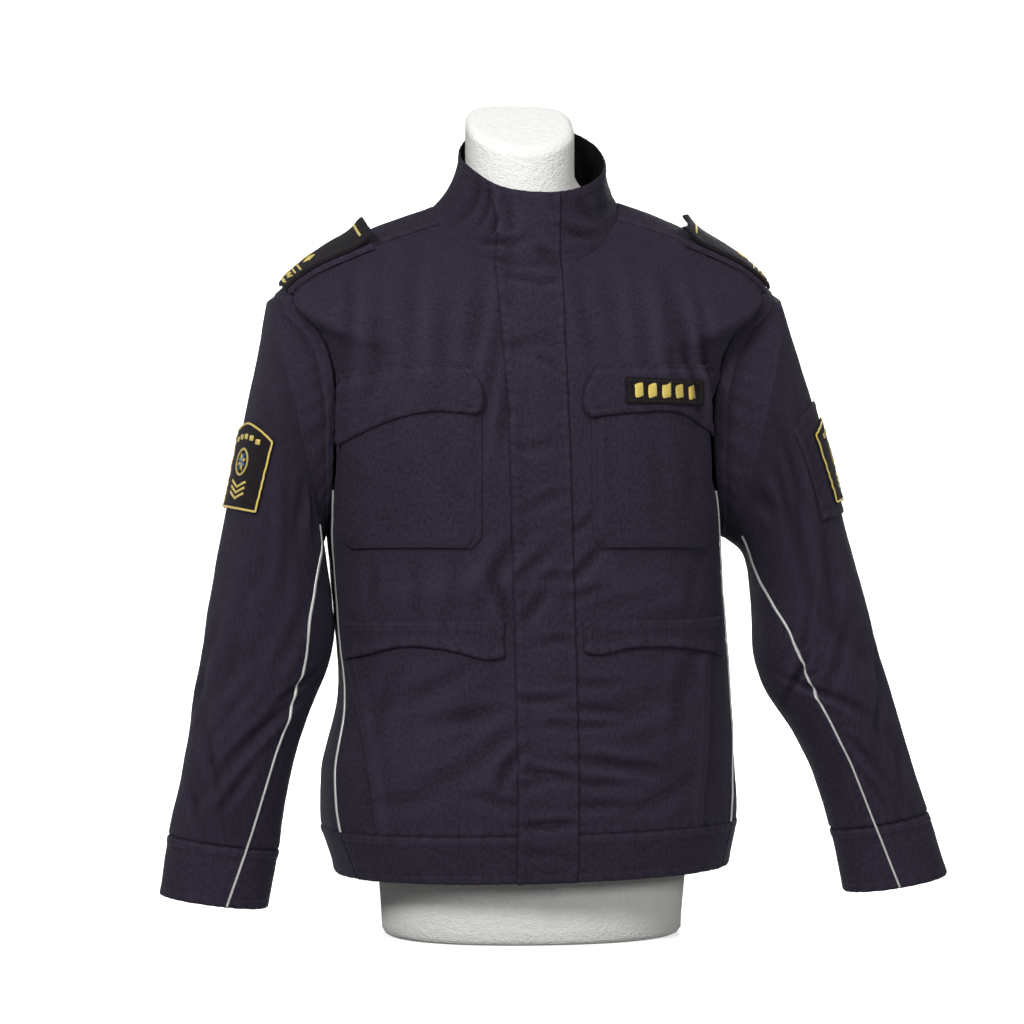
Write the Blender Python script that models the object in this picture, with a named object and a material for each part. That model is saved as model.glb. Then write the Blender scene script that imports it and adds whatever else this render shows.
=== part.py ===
"""Uniform jacket on a limbless dress form.

Metres, +Z up, the front faces -Y, and the origin is the middle of the form's flat base.
Right and left are the wearer's: the right side is at -X.

Every cloth piece is a wall cut from one of three smooth surfaces: the torso, the collar and
the sleeve. A place on the torso is an angle round it (0 at the front middle, 180 degrees at
the back) and a level (its height below the chest, and a row of the shoulder above that).
A place on a sleeve is an angle round it (0 at the outer side, 90 degrees at the front) and a
ring number along it (0 at the armhole, 1 where the armhole band ends).
"""

import bpy
import numpy as np

CLOTH = 0.002
HALF = CLOTH / 2
SEAM_GAP = 0.0003
LAID_GAP = 0.0010
PATCH = 0.002
RIGHT, LEFT = -1.0, 1.0
SIDES = (("right", RIGHT), ("left", LEFT))

HEM_LEVEL = 0.070
HEM_SEAM = 0.117
YOKE_LEVEL = 0.655
NECK_LEVEL = 0.755

PLACKET_LIFT = 0.0010
PLACKET_ON_COLLAR = 0.12
# How far the fly's free edge turns away up the collar, in radians.
PLACKET_FLARE = 0.29
BAND_PROUD = 0.0010
HEM_PROUD = 0.0004
RING_GAP = 0.0008
PIPING_WIDTH = 0.004
PIPING_HEIGHT = 0.0012
# How far above the cloth the piping lies, on the side seams and on the sleeves.
PIPING_SEAT = 0.0007
SLEEVE_PIPING_SEAT = 0.0005

COLLAR_HALF_WIDTH = 0.0765
COLLAR_FRONT = 0.088
COLLAR_BACK = 0.075
COLLAR_SHIFT = 0.0125
# The collar's top is drawn in towards the neck in front of the right side.
COLLAR_DRAW, COLLAR_DRAW_ANGLE, COLLAR_DRAW_REACH = 0.006, np.radians(-62), np.radians(21)
COLLAR_Z_FRONT = 0.766
COLLAR_Z_BACK = 0.857
COLLAR_SEAT = 0.0016
COLLAR_NARROWING = 2.2
COLLAR_END_GAP = 0.002

NECK_RADIUS = 0.057
NECK_BACK = 0.040
NECK_SQUARE = 3.4
NECK_TOP_Z = 0.8495
NECK_TOP_SLOPE = 0.62
NECK_EDGE = 0.009

NAVY = (0.016, 0.013, 0.022, 1.0)
BLACK = (0.006, 0.005, 0.007, 1.0)
SILVER = (0.55, 0.54, 0.53, 1.0)
JERSEY = (0.86, 0.85, 0.82, 1.0)


def table(names, rows):
    """A table of rows as one array for each named column."""
    return dict(zip(names.split(), np.array(rows, float).T))


# The torso's rings, from the form's base to the neck seam. form_side and form_front are the
# form's distance inside the cloth, fall is how the ring sinks from its side to its middle, and
# lean is how much higher it hangs for each metre towards the left.
TORSO = table(
    "level half_width front back z_side z_front z_back square fall shift lean form_side form_front",
    [
        (0.000, 0.198, 0.154, 0.142, 0.000, 0.000, 0.000, 2.2, 2.0, 0.012, 0.018, 0.042, 0.040),
        (0.070, 0.205, 0.160, 0.146, 0.070, 0.070, 0.070, 2.3, 2.0, 0.012, 0.018, 0.043, 0.042),
        (0.117, 0.216, 0.167, 0.152, 0.117, 0.117, 0.117, 2.3, 2.0, 0.009, 0.016, 0.047, 0.044),
        (0.170, 0.216, 0.169, 0.154, 0.170, 0.170, 0.170, 2.3, 2.0, 0.008, 0.012, 0.046, 0.042),
        (0.250, 0.2045, 0.165, 0.148, 0.250, 0.250, 0.250, 2.3, 2.0, 0.014, 0.006, 0.040, 0.036),
        (0.330, 0.203, 0.160, 0.140, 0.330, 0.330, 0.330, 2.4, 2.0, 0.009, 0.000, 0.037, 0.032),
        (0.420, 0.204, 0.158, 0.142, 0.420, 0.420, 0.420, 2.6, 2.0, 0.002, 0.000, 0.031, 0.028),
        (0.500, 0.206, 0.157, 0.146, 0.500, 0.500, 0.500, 2.7, 2.0, -0.003, 0.000, 0.024, 0.024),
        (0.560, 0.209, 0.152, 0.148, 0.568, 0.553, 0.560, 2.8, 2.0, -0.002, 0.003, 0.016, 0.020),
        (0.620, 0.224, 0.145, 0.147, 0.634, 0.590, 0.620, 2.9, 2.0, 0.001, 0.008, 0.008, 0.015),
        (0.655, 0.249, 0.135, 0.143, 0.677, 0.611, 0.655, 3.0, 1.8, 0.004, 0.012, 0.0023, 0.011),
        (0.675, 0.228, 0.131, 0.137, 0.699, 0.629, 0.683, 2.9, 1.7, 0.005, 0.015, 0.0021, 0.009),
        (0.695, 0.198, 0.126, 0.128, 0.720, 0.645, 0.708, 2.7, 1.5, 0.005, 0.018, 0.0021, 0.007),
        (0.715, 0.164, 0.119, 0.115, 0.737, 0.661, 0.732, 2.5, 1.4, 0.005, 0.022, 0.0021, 0.006),
        (0.735, 0.128, 0.110, 0.098, 0.751, 0.677, 0.755, 2.2, 1.2, 0.005, 0.028, 0.0034, 0.005),
        (0.755, 0.0945, 0.100, 0.078, 0.762, 0.692, 0.775, 2.0, 1.0, 0.006, 0.034, 0.0050, 0.005),
    ],
)

# Half of the armhole, from its top corner in front of the shoulder to the underarm.
ARMHOLE = table(
    "along depth level",
    [
        (0.00, 0.055, 0.655),
        (0.14, 0.070, 0.632),
        (0.30, 0.080, 0.592),
        (0.50, 0.081, 0.535),
        (0.70, 0.070, 0.476),
        (0.86, 0.043, 0.436),
        (1.00, 0.000, 0.420),
    ],
)
ARMHOLE_TOP = np.radians(24)
SIDE_SEAM_ALONG = 0.72
# How far the armhole's edge is drawn into the hole, past its top corners and at its foot, and out.
ARMHOLE_DRAW, ARMHOLE_DRAW_SIDES, ARMHOLE_DRAW_FOOT = 0.0008, 0.0018, 0.0008
ARMHOLE_OUT = 0.0022

# How far the side seam with its piping, and above it the yoke's front seam, lie before the side.
SIDE_SEAM = table(
    "level depth",
    [
        (0.070, 0.077), (0.117, 0.075), (0.200, 0.060), (0.300, 0.036), (0.400, 0.042),
        (0.471, 0.068),
    ],
)
YOKE_SEAM = table(
    "level depth",
    [(0.655, 0.055), (0.675, 0.055), (0.695, 0.052), (0.715, 0.045), (0.735, 0.037), (0.755, 0.029)],
)
PLACKET = table(
    "level middle width",
    [
        (0.070, 0.0092, 0.060), (0.200, 0.0092, 0.060), (0.350, 0.0062, 0.060), (0.500, 0.0023, 0.060),
        (0.600, -0.0005, 0.061), (0.655, -0.0015, 0.063), (0.755, -0.0030, 0.0665),
    ],
)

# Each sleeve's rings: the outer and the inner point, seen from the front, and the depth.
SLEEVE_NAMES = "ring outer_x outer_z inner_x inner_z depth ahead"
SLEEVES = {
    RIGHT: table(
        SLEEVE_NAMES,
        [
            (1, 0.264, 0.658, 0.2075, 0.407, 0.084, 0.000),
            (2, 0.276, 0.594, 0.2035, 0.386, 0.085, 0.002),
            (3, 0.287, 0.540, 0.2010, 0.366, 0.084, 0.004),
            (4, 0.2985, 0.482, 0.1985, 0.342, 0.081, 0.006),
            (5, 0.313, 0.410, 0.1965, 0.314, 0.078, 0.010),
            (6, 0.327, 0.332, 0.2030, 0.281, 0.074, 0.016),
            (7, 0.338, 0.264, 0.2200, 0.240, 0.069, 0.022),
            (8, 0.347, 0.206, 0.2360, 0.197, 0.064, 0.028),
            (9, 0.356, 0.155, 0.2475, 0.145, 0.058, 0.033),
            (10, 0.366, 0.110, 0.2550, 0.094, 0.051, 0.037),
            (11, 0.375, 0.050, 0.2670, 0.035, 0.047, 0.040),
        ],
    ),
    LEFT: table(
        SLEEVE_NAMES,
        [
            (1, 0.275, 0.664, 0.2190, 0.413, 0.084, 0.000),
            (2, 0.292, 0.605, 0.2370, 0.399, 0.085, 0.002),
            (3, 0.309, 0.551, 0.2450, 0.379, 0.084, 0.004),
            (4, 0.327, 0.487, 0.2475, 0.351, 0.081, 0.006),
            (5, 0.3440, 0.418, 0.2480, 0.318, 0.078, 0.010),
            (6, 0.3630, 0.348, 0.2490, 0.285, 0.074, 0.016),
            (7, 0.3785, 0.290, 0.2605, 0.250, 0.069, 0.022),
            (8, 0.3910, 0.243, 0.2840, 0.214, 0.064, 0.028),
            (9, 0.4055, 0.190, 0.3070, 0.168, 0.058, 0.033),
            (10, 0.4260, 0.126, 0.3250, 0.108, 0.051, 0.037),
            (11, 0.4465, 0.061, 0.3390, 0.043, 0.047, 0.040),
        ],
    ),
}
# The sleeve's usual radius turns degrees round it into metres.
SLEEVE_RADIUS = 0.065
CUFF_RING = 10
CUFF_END = 11
BACK_SEAM = np.radians(-125)
FRONT_SEAMS = {
    RIGHT: table("ring degrees", [
        (1, 138), (2.2, 138), (4.2, 126), (5.2, 122), (6.3, 127), (7.6, 129), (9, 121), (10, 113), (11, 103),
    ]),
    LEFT: table("ring degrees", [
        (1, 152), (2.9, 166), (4.6, 140), (5.7, 122), (6.4, 118), (8.5, 115), (9.7, 109), (11, 97),
    ]),
}

# The torso's folds fade in between once and twice this far in front of the middle.
FOLD_FADE = 0.03
# The largest soft folds. Torso: x, z, half length, half width, lean from upright, depth.
TORSO_FOLDS = [
    (-0.070, 0.655, 0.070, 0.016, 6, -0.003),
    (0.075, 0.650, 0.075, 0.018, -8, -0.003),
    (-0.150, 0.610, 0.060, 0.014, 14, -0.004),
    (0.150, 0.615, 0.060, 0.014, -12, -0.004),
    (-0.075, 0.225, 0.060, 0.026, 35, -0.006),
    (-0.120, 0.190, 0.050, 0.024, 60, 0.004),
    (0.100, 0.245, 0.060, 0.020, 82, -0.005),
    (0.130, 0.180, 0.060, 0.024, -50, -0.004),
    (-0.090, 0.365, 0.070, 0.018, 80, 0.004),
    (0.100, 0.360, 0.070, 0.018, -80, 0.004),
]
# Sleeve: ring, degrees round, half length in rings, half width, lean in metres a ring, depth.
SLEEVE_FOLDS = [
    (3.2, 95, 1.8, 0.016, 0.004, -0.007),
    (3.0, 55, 1.6, 0.018, -0.004, -0.004),
    (5.2, 75, 1.4, 0.014, 0.010, -0.005),
    (6.6, 60, 0.8, 0.020, -0.030, -0.006),
    (7.6, 35, 0.9, 0.016, 0.032, -0.005),
    (8.9, 50, 0.7, 0.018, -0.020, -0.004),
    (3.4, -80, 1.8, 0.018, 0.004, -0.006),
    (6.0, -60, 1.2, 0.020, -0.020, -0.006),
    (7.8, -95, 1.0, 0.018, 0.020, -0.005),
]

# The cloth pieces laid on the fronts, the sleeves and the shoulders.
POCKET_OUTER_X = {RIGHT: 0.190, LEFT: 0.184}
POCKET_INNER_X = {RIGHT: 0.056, LEFT: 0.054}
FLAP_INNER_X = {RIGHT: 0.055, LEFT: 0.046}
POCKET_BOTTOM, POCKET_TOP = 0.403, 0.562
POCKET_THICK = 0.003
FLAP_TOP = 0.588
FLAP_ON_POCKET = LAID_GAP + POCKET_THICK + 1.4 * LAID_GAP
FLAP_EDGES = {
    RIGHT: table("part top bottom", [
        (0, 0, 0.537), (0.35, 0, 0.540), (0.7, -0.003, 0.528), (1, -0.010, 0.508),
    ]),
    LEFT: table("part top bottom", [
        (0, 0, 0.535), (0.35, 0, 0.540), (0.7, 0.001, 0.540), (1, 0.002, 0.518),
    ]),
}
FLAP_SLANT = table("down inset", [(0, 0.017), (0.35, 0.005), (0.7, 0.0), (0.9, 0.002), (1, 0.007)])
TAPE_X = (0.088, 0.168)
TAPE_Z = (0.549, 0.5745)
TAPE_THICK = 0.0012
LOWER_FLAPS = {
    RIGHT: table("part x top bottom", [
        (0, 0.0350, 0.331, 0.296), (0.06, 0.0435, 0.331, 0.2935), (0.35, 0.090, 0.330, 0.303),
        (0.6, 0.130, 0.329, 0.306), (0.85, 0.167, 0.328, 0.296), (1, 0.1838, 0.327, 0.291),
    ]),
    LEFT: table("part x top bottom", [
        (0, 0.0460, 0.330, 0.301), (0.06, 0.0530, 0.330, 0.2985), (0.35, 0.095, 0.330, 0.304),
        (0.6, 0.135, 0.330, 0.304), (0.85, 0.178, 0.331, 0.298), (1, 0.198, 0.332, 0.293),
    ]),
}
# Each badge's middle and half width in degrees round the sleeve, its foot's and its top's height
# square to the sleeve, which leans out, and how far its corners lie below its top.
SLEEVE_LEAN = {RIGHT: 0.20, LEFT: 0.26}
BADGE_PLACES = {RIGHT: (28, 35, 0.383, 0.475, 0.016), LEFT: (16, 35, 0.365, 0.457, 0.014)}
BACKING_PLACE = (24, 50, 0.352, 0.4765, 0.0245)
BADGE_ROUNDNESS = 1.6
BADGE_NARROWING = 0.16
BADGE_LIFT = 0.0012
BACKING_THICK = 0.0012
BADGE_THICK = 0.0015
STRAP_DEPTH = (-0.020, 0.053)
SLIDE_DEPTH = (-0.015, 0.046)
STRAP_LEVELS = (YOKE_LEVEL + 0.0005, 0.712)
SLIDE_LEVELS = (YOKE_LEVEL + 0.0005, 0.714)
SLIDE_RISE = 0.008
SLIDE_RISE_LEVELS = (0.700, 0.714)
STRAP_THICK = 0.0025
SLIDE_THICK = 0.0030

# The dress form's rings under the cloth, and above them its neck.
FORM_LEVELS = [0.0, 0.006, 0.07, 0.13, 0.19, 0.25, 0.31, 0.37, 0.43, 0.49, 0.54, 0.58, 0.615, 0.64]
FORM_LEVELS += [0.655, 0.668, 0.682, 0.697, 0.713, 0.730, 0.744]
FORM_FOOT = (0.96, 0.96, 0.0)
FORM_COLUMNS = 32
NECK_BLENDS = ((0.45, 0.066), (0.85, 0.050))
NECK_RINGS = ((0.000, 0.036), (0.000, NECK_EDGE), (0.003, 0.003), (0.009, 0.000))


def smooth(rows, across, column, at):
    """The smooth curve through a table's column, read at the places in `at`."""
    knots, values = rows[across], rows[column]
    slopes = np.gradient(values, knots)
    low = np.clip(np.searchsorted(knots, at, side="right") - 1, 0, len(knots) - 2)
    span = knots[low + 1] - knots[low]
    part = (at - knots[low]) / span
    rise = values[low + 1] - values[low]
    first, last = slopes[low] * span, slopes[low + 1] * span
    bend = part * (1 - part) * ((first - rise) * (1 - part) + (rise - last) * part)
    return values[low] + rise * part + bend


def other_share(share, power):
    """On a squared oval of this power, how far it reaches one way where it reaches `share` the other."""
    return (1 - np.abs(share) ** power) ** (1 / power)


def ring_sizes(level):
    """Every column of the torso's table at this level."""
    return {name: smooth(TORSO, "level", name, level) for name in TORSO}


def plain_torso(angle, level):
    """The torso's smooth surface: a squared oval that sinks from its sides to its middles."""
    size = ring_sizes(level)
    sideways, forward = np.sin(angle), np.cos(angle)
    power = size["square"]
    reach = (np.abs(sideways) ** power + np.abs(forward) ** power) ** (-1 / power)
    in_front = forward > 0
    share = np.abs(forward) * reach
    depth = np.where(in_front, size["front"], -size["back"]) * share
    middle_z = np.where(in_front, size["z_front"], size["z_back"])
    x = size["shift"] + size["half_width"] * sideways * reach
    z = size["z_side"] + (middle_z - size["z_side"]) * share ** size["fall"] + size["lean"] * x
    return np.stack([x, -depth, z], axis=-1)


def normals_of(surface, first, second, step_first, step_second):
    """Unit normals of a surface of two parameters, which point out of the body."""
    along_first = surface(first + step_first, second) - surface(first - step_first, second)
    along_second = surface(first, second + step_second) - surface(first, second - step_second)
    normal = np.cross(along_first, along_second)
    return normal / np.linalg.norm(normal, axis=-1, keepdims=True)


def torso_normal(angle, level):
    """The way out of the torso's surface."""
    return normals_of(plain_torso, angle, level, 0.02, 0.003)


def torso_fold_depth(points):
    """Sum of the soft folds on the front, each a long round trough or ridge."""
    x, y, z = points[..., 0], points[..., 1], points[..., 2]
    total = np.zeros(x.shape)
    for fold_x, fold_z, half_length, half_width, lean, depth in TORSO_FOLDS:
        turn = np.radians(lean)
        right, up = x - fold_x, z - fold_z
        across = right * np.cos(turn) - up * np.sin(turn)
        along = right * np.sin(turn) + up * np.cos(turn)
        total += depth * np.exp(-((across / half_width) ** 2) - (along / half_length) ** 2)
    return total * np.clip((-y - FOLD_FADE) / FOLD_FADE, 0, 1)


def torso(angle, level):
    """The cloth's middle surface on the torso: the plain surface with its folds."""
    plain = plain_torso(angle, level)
    return plain + torso_normal(angle, level) * torso_fold_depth(plain)[..., None]


def angle_at_depth(depth, level, side):
    """The angle round the torso where it lies this far before its side, or behind it if negative."""
    size = ring_sizes(level)
    share = depth / np.where(depth > 0, size["front"], size["back"])
    return side * np.arctan2(other_share(share, size["square"]), share)


def angle_at_x(x, level):
    """The angle round the front of the torso at this distance to the side."""
    size = ring_sizes(level)
    share = np.clip((x - size["shift"]) / size["half_width"], -0.999, 0.999)
    return np.arctan2(share, other_share(share, size["square"]))


def place_on_front(x, z):
    """The angle and level of the point of the torso's front that shows at this x and height."""
    level = np.array(z, float)
    for _ in range(30):
        angle = angle_at_x(x, level)
        level = level + (z - plain_torso(angle, level)[..., 2]) * 0.8
    return angle, level


def moved_round(angle, level, distance):
    """The angle moved this far round the torso, in metres."""
    step = 0.004
    speed = np.linalg.norm(plain_torso(angle + step, level) - plain_torso(angle - step, level), axis=-1)
    return angle + distance * 2 * step / speed


def collar(angle, part):
    """The collar's middle surface, from the neck seam (0) to its top edge (1)."""
    base = plain_torso(angle, np.full(np.shape(angle), NECK_LEVEL)) + np.array([0, 0, COLLAR_SEAT])
    depth = np.where(np.cos(angle) > 0, COLLAR_FRONT, COLLAR_BACK) * np.cos(angle)
    top_z = COLLAR_Z_FRONT + (COLLAR_Z_BACK - COLLAR_Z_FRONT) * (1 - np.cos(angle)) / 2
    away = (angle - COLLAR_DRAW_ANGLE + np.pi) % (2 * np.pi) - np.pi
    drawn = COLLAR_DRAW * np.exp(-((away / COLLAR_DRAW_REACH) ** 2))
    top = np.stack([COLLAR_SHIFT + COLLAR_HALF_WIDTH * np.sin(angle) + drawn, -depth, top_z], axis=-1)
    narrowing = (1 - np.maximum(1 - part, 0) ** COLLAR_NARROWING)[..., None]
    rising = part[..., None] * np.array([0, 0, 1.0])
    return base + (top - base) * (narrowing * np.array([1.0, 1.0, 0]) + rising)


def armhole_place(side, turn):
    """The angle and level of the armhole's edge at this turn round it (0 at the top)."""
    turn = (turn + np.pi) % (2 * np.pi) - np.pi
    along = np.clip((np.abs(turn) - ARMHOLE_TOP) / (np.pi - ARMHOLE_TOP), 0, 1)
    level = smooth(ARMHOLE, "along", "level", along)
    edge = smooth(ARMHOLE, "along", "depth", along) * np.sign(turn)
    top_depth = ARMHOLE["depth"][0] * turn / ARMHOLE_TOP
    depth = np.where(np.abs(turn) < ARMHOLE_TOP, top_depth, edge)
    return angle_at_depth(depth, level, side), level


def armhole(side, turn):
    """Where the sleeve begins: the armhole's edge, drawn just into the hole so the walls clear."""
    angle, level = armhole_place(side, turn)
    edge, outward = plain_torso(angle, level), torso_normal(angle, level)
    step = 0.04
    before, after = armhole_place(side, turn - step), armhole_place(side, turn + step)
    inward = np.cross(outward, plain_torso(*after) - plain_torso(*before)) * side
    inward /= np.linalg.norm(inward, axis=-1, keepdims=True)
    lowness = ((1 - np.cos(turn)) / 2)[..., None]
    past_top = np.clip((np.abs(turn) - ARMHOLE_TOP) / ARMHOLE_TOP, 0, 1)[..., None]
    drawn = ARMHOLE_DRAW + ARMHOLE_DRAW_SIDES * past_top + ARMHOLE_DRAW_FOOT * lowness
    return edge + inward * drawn + outward * ARMHOLE_OUT * lowness


def sleeve_ring(side, ring, turn):
    """A slanted oval through a ring's outer and inner points."""
    size = {name: smooth(SLEEVES[side], "ring", name, ring) for name in SLEEVES[side]}
    half_x = (size["outer_x"] - size["inner_x"]) / 2
    half_z = (size["outer_z"] - size["inner_z"]) / 2
    x = (size["outer_x"] + size["inner_x"]) / 2 + half_x * np.cos(turn)
    z = (size["outer_z"] + size["inner_z"]) / 2 + half_z * np.cos(turn)
    return np.stack([side * x, -(size["ahead"] + size["depth"] * np.sin(turn)), z], axis=-1)


def plain_sleeve(side, ring, turn):
    """The sleeve's smooth surface: from the armhole's edge to ring 1, then through the rings."""
    tube = sleeve_ring(side, np.maximum(ring, 1.0), turn)
    part = np.clip(ring, 0, 1)[..., None]
    return np.where(part < 1, armhole(side, turn) * (1 - part) + tube * part, tube)


def sleeve_normal(side, ring, turn):
    """The way out of the sleeve's surface."""
    normal = normals_of(lambda r, t: plain_sleeve(side, r, t), ring, turn, 0.06, 0.05)
    return normal * -side


def sleeve(side, ring, turn):
    """The cloth's middle surface on a sleeve: the plain tube with its folds."""
    depth = np.zeros(np.broadcast(ring, turn).shape)
    for fold_ring, degrees, half_length, half_width, lean, deep in SLEEVE_FOLDS:
        round_tube = (turn - np.radians(degrees) + np.pi) % (2 * np.pi) - np.pi
        across = round_tube * SLEEVE_RADIUS - lean * (ring - fold_ring)
        along = (ring - fold_ring) / half_length
        depth = depth + deep * np.exp(-((across / half_width) ** 2) - along**2)
    depth = depth * np.clip(ring - 1, 0, 1) * np.clip(CUFF_RING - ring, 0, 1)
    return plain_sleeve(side, ring, turn) + sleeve_normal(side, ring, turn) * depth[..., None]


def front_seam(side, ring):
    """Where the sleeve's front seam with its piping runs, in radians round it."""
    return np.radians(smooth(FRONT_SEAMS[side], "ring", "degrees", np.maximum(ring, 1.0)))


def new_material(name, color, roughness, metallic=0.0):
    """A plain material with this colour."""
    material = bpy.data.materials.new(name)
    material.use_nodes = True
    shader = material.node_tree.nodes["Principled BSDF"]
    shader.inputs["Base Color"].default_value = color
    shader.inputs["Roughness"].default_value = roughness
    shader.inputs["Metallic"].default_value = metallic
    return material


def new_object(name, points, faces, color, roughness):
    """An object of these points and faces, turned inside out where its faces point in."""
    corners = [points[list(face)] for face in faces]
    volume = 0.0
    for face in corners:
        volume += sum(np.dot(face[0], np.cross(face[k], face[k + 1])) for k in range(1, len(face) - 1))
    if volume < 0:
        faces = [tuple(reversed(face)) for face in faces]
    mesh = bpy.data.meshes.new(name)
    mesh.from_pydata([tuple(point) for point in points], [], faces)
    mesh.shade_smooth()
    mesh.set_sharp_from_angle(angle=np.radians(50))
    mesh.materials.append(new_material(name, color, roughness))
    item = bpy.data.objects.new(name, mesh)
    bpy.context.scene.collection.objects.link(item)
    return item


def wall(name, surface, normal, inner, outer, color=NAVY, roughness=0.75, closed=False):
    """A closed wall on a grid of points, between two distances out from it."""
    rows, columns = surface.shape[:2]
    inner = np.broadcast_to(inner, (rows, columns))[..., None]
    outer = np.broadcast_to(outer, (rows, columns))[..., None]
    skins = [(surface + normal * outer).reshape(-1, 3), (surface + normal * inner).reshape(-1, 3)]
    count = rows * columns
    number = np.arange(count).reshape(rows, columns)
    steps = columns if closed else columns - 1
    faces = []
    for row in range(rows - 1):
        for column in range(steps):
            after = (column + 1) % columns
            here, below = number[row], number[row + 1]
            quad = [int(k) for k in (here[column], here[after], below[after], below[column])]
            faces.append(tuple(quad))
            faces.append(tuple(k + count for k in reversed(quad)))
    edges = [[number[0, c] for c in range(columns)], [number[-1, c] for c in reversed(range(columns))]]
    if closed:
        loops = [edge + edge[:1] for edge in edges]
    else:
        right, left = number[1:, -1].tolist(), number[-2::-1, 0].tolist()
        loops = [edges[0] + right + edges[1][1:] + left]
    for loop in loops:
        for here, there in zip(loop[:-1], loop[1:]):
            faces.append((int(there), int(here), int(here) + count, int(there) + count))
    return new_object(name, np.concatenate(skins), faces, color, roughness)


def torso_wall(name, angle, level, inner=-HALF, outer=HALF, **looks):
    """A wall cut from the torso's surface."""
    return wall(name, torso(angle, level), torso_normal(angle, level), inner, outer, **looks)


def between(start, end, count):
    """Rows of values from the array `start` to the array `end`."""
    part = np.linspace(0, 1, count)
    return start[:, None] * (1 - part) + end[:, None] * part


LOWER_LEVELS = np.linspace(HEM_SEAM, float(smooth(ARMHOLE, "along", "level", SIDE_SEAM_ALONG)), 11)
ARMHOLE_STEPS = np.linspace(SIDE_SEAM_ALONG, 0, 9)[1:]
UNDERARM_STEPS = np.linspace(SIDE_SEAM_ALONG, 1, 5)
SHOULDER_LEVELS = np.linspace(YOKE_LEVEL, NECK_LEVEL, 7)
HEM_LEVELS = np.array([HEM_LEVEL, (HEM_LEVEL + HEM_SEAM) / 2, HEM_SEAM])


def side_seam_angle(level, side, ahead):
    """The seam before the side of the body, or the one behind it."""
    depth = smooth(SIDE_SEAM, "level", "depth", level)
    return angle_at_depth(depth if ahead else -depth, level, side)


def lower_and_armhole(side, ahead):
    """Levels and edge angles up the side seam and then up the armhole to the shoulder."""
    direction = 1 if ahead else -1
    seam = side_seam_angle(LOWER_LEVELS, side, ahead)
    level = smooth(ARMHOLE, "along", "level", ARMHOLE_STEPS)
    depth = smooth(ARMHOLE, "along", "depth", ARMHOLE_STEPS) * direction
    return np.concatenate([LOWER_LEVELS, level]), np.concatenate([seam, angle_at_depth(depth, level, side)])


def trimmed(levels, lowest=True, highest=True):
    """The levels with half a seam's gap taken from each end."""
    levels = levels.copy()
    levels[0] += SEAM_GAP / 2 if lowest else 0
    levels[-1] -= SEAM_GAP / 2 if highest else 0
    return levels


def front_panel(name, side):
    """One front, from the middle under the placket to the side seam, armhole and yoke seam."""
    level, edge = lower_and_armhole(side, True)
    upper = SHOULDER_LEVELS[1:]
    yoke_edge = angle_at_depth(smooth(YOKE_SEAM, "level", "depth", upper), upper, side)
    level = trimmed(np.concatenate([level, upper]))
    edge = moved_round(np.concatenate([edge, yoke_edge]), level, -side * SEAM_GAP / 2)
    middle = angle_at_x(smooth(PLACKET, "level", "middle", level) + side * SEAM_GAP / 2, level)
    angle = between(middle, edge, 11)
    torso_wall(name, angle, np.broadcast_to(level[:, None], angle.shape))


def side_panel(name, side):
    """The panel under the arm, whose top edge follows the armhole's lowest part."""
    steps = np.concatenate([UNDERARM_STEPS, UNDERARM_STEPS[-2::-1]])
    ahead = np.concatenate([np.ones(4), [0.0], -np.ones(4)])
    top_level = smooth(ARMHOLE, "along", "level", steps)
    top_angle = angle_at_depth(smooth(ARMHOLE, "along", "depth", steps) * ahead, top_level, side)
    front, rear = side_seam_angle(top_level, side, True), side_seam_angle(top_level, side, False)
    share = (top_angle - front) / (rear - front)
    rising = (trimmed(LOWER_LEVELS) - HEM_SEAM) / (LOWER_LEVELS[-1] - HEM_SEAM)
    level = HEM_SEAM + (top_level[None, :] - HEM_SEAM) * rising[:, None]
    front = moved_round(side_seam_angle(level, side, True), level, side * SEAM_GAP / 2)
    rear = moved_round(side_seam_angle(level, side, False), level, -side * SEAM_GAP / 2)
    torso_wall(name, front + (rear - front) * share[None, :], level)


def back_panel():
    """The back between the side seams and armholes, up to the yoke."""
    level, right_edge = lower_and_armhole(RIGHT, False)
    _, left_edge = lower_and_armhole(LEFT, False)
    level = trimmed(level)
    start = moved_round(left_edge, level, SEAM_GAP / 2)
    end = moved_round(right_edge + 2 * np.pi, level, -SEAM_GAP / 2)
    angle = between(start, end, 15)
    torso_wall("back", angle, np.broadcast_to(level[:, None], angle.shape))


def yoke():
    """The shoulders in one piece: from seam to seam over both ridges and round the back."""
    level = trimmed(SHOULDER_LEVELS)
    depth = smooth(YOKE_SEAM, "level", "depth", level)
    level[0] += 2 * SEAM_GAP
    level[-1] -= HALF
    start = moved_round(angle_at_depth(depth, level, LEFT), level, SEAM_GAP / 2)
    end = moved_round(angle_at_depth(depth, level, RIGHT) + 2 * np.pi, level, -SEAM_GAP / 2)
    angle = between(start, end, 31)
    torso_wall("yoke", angle, np.broadcast_to(level[:, None], angle.shape))


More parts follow.
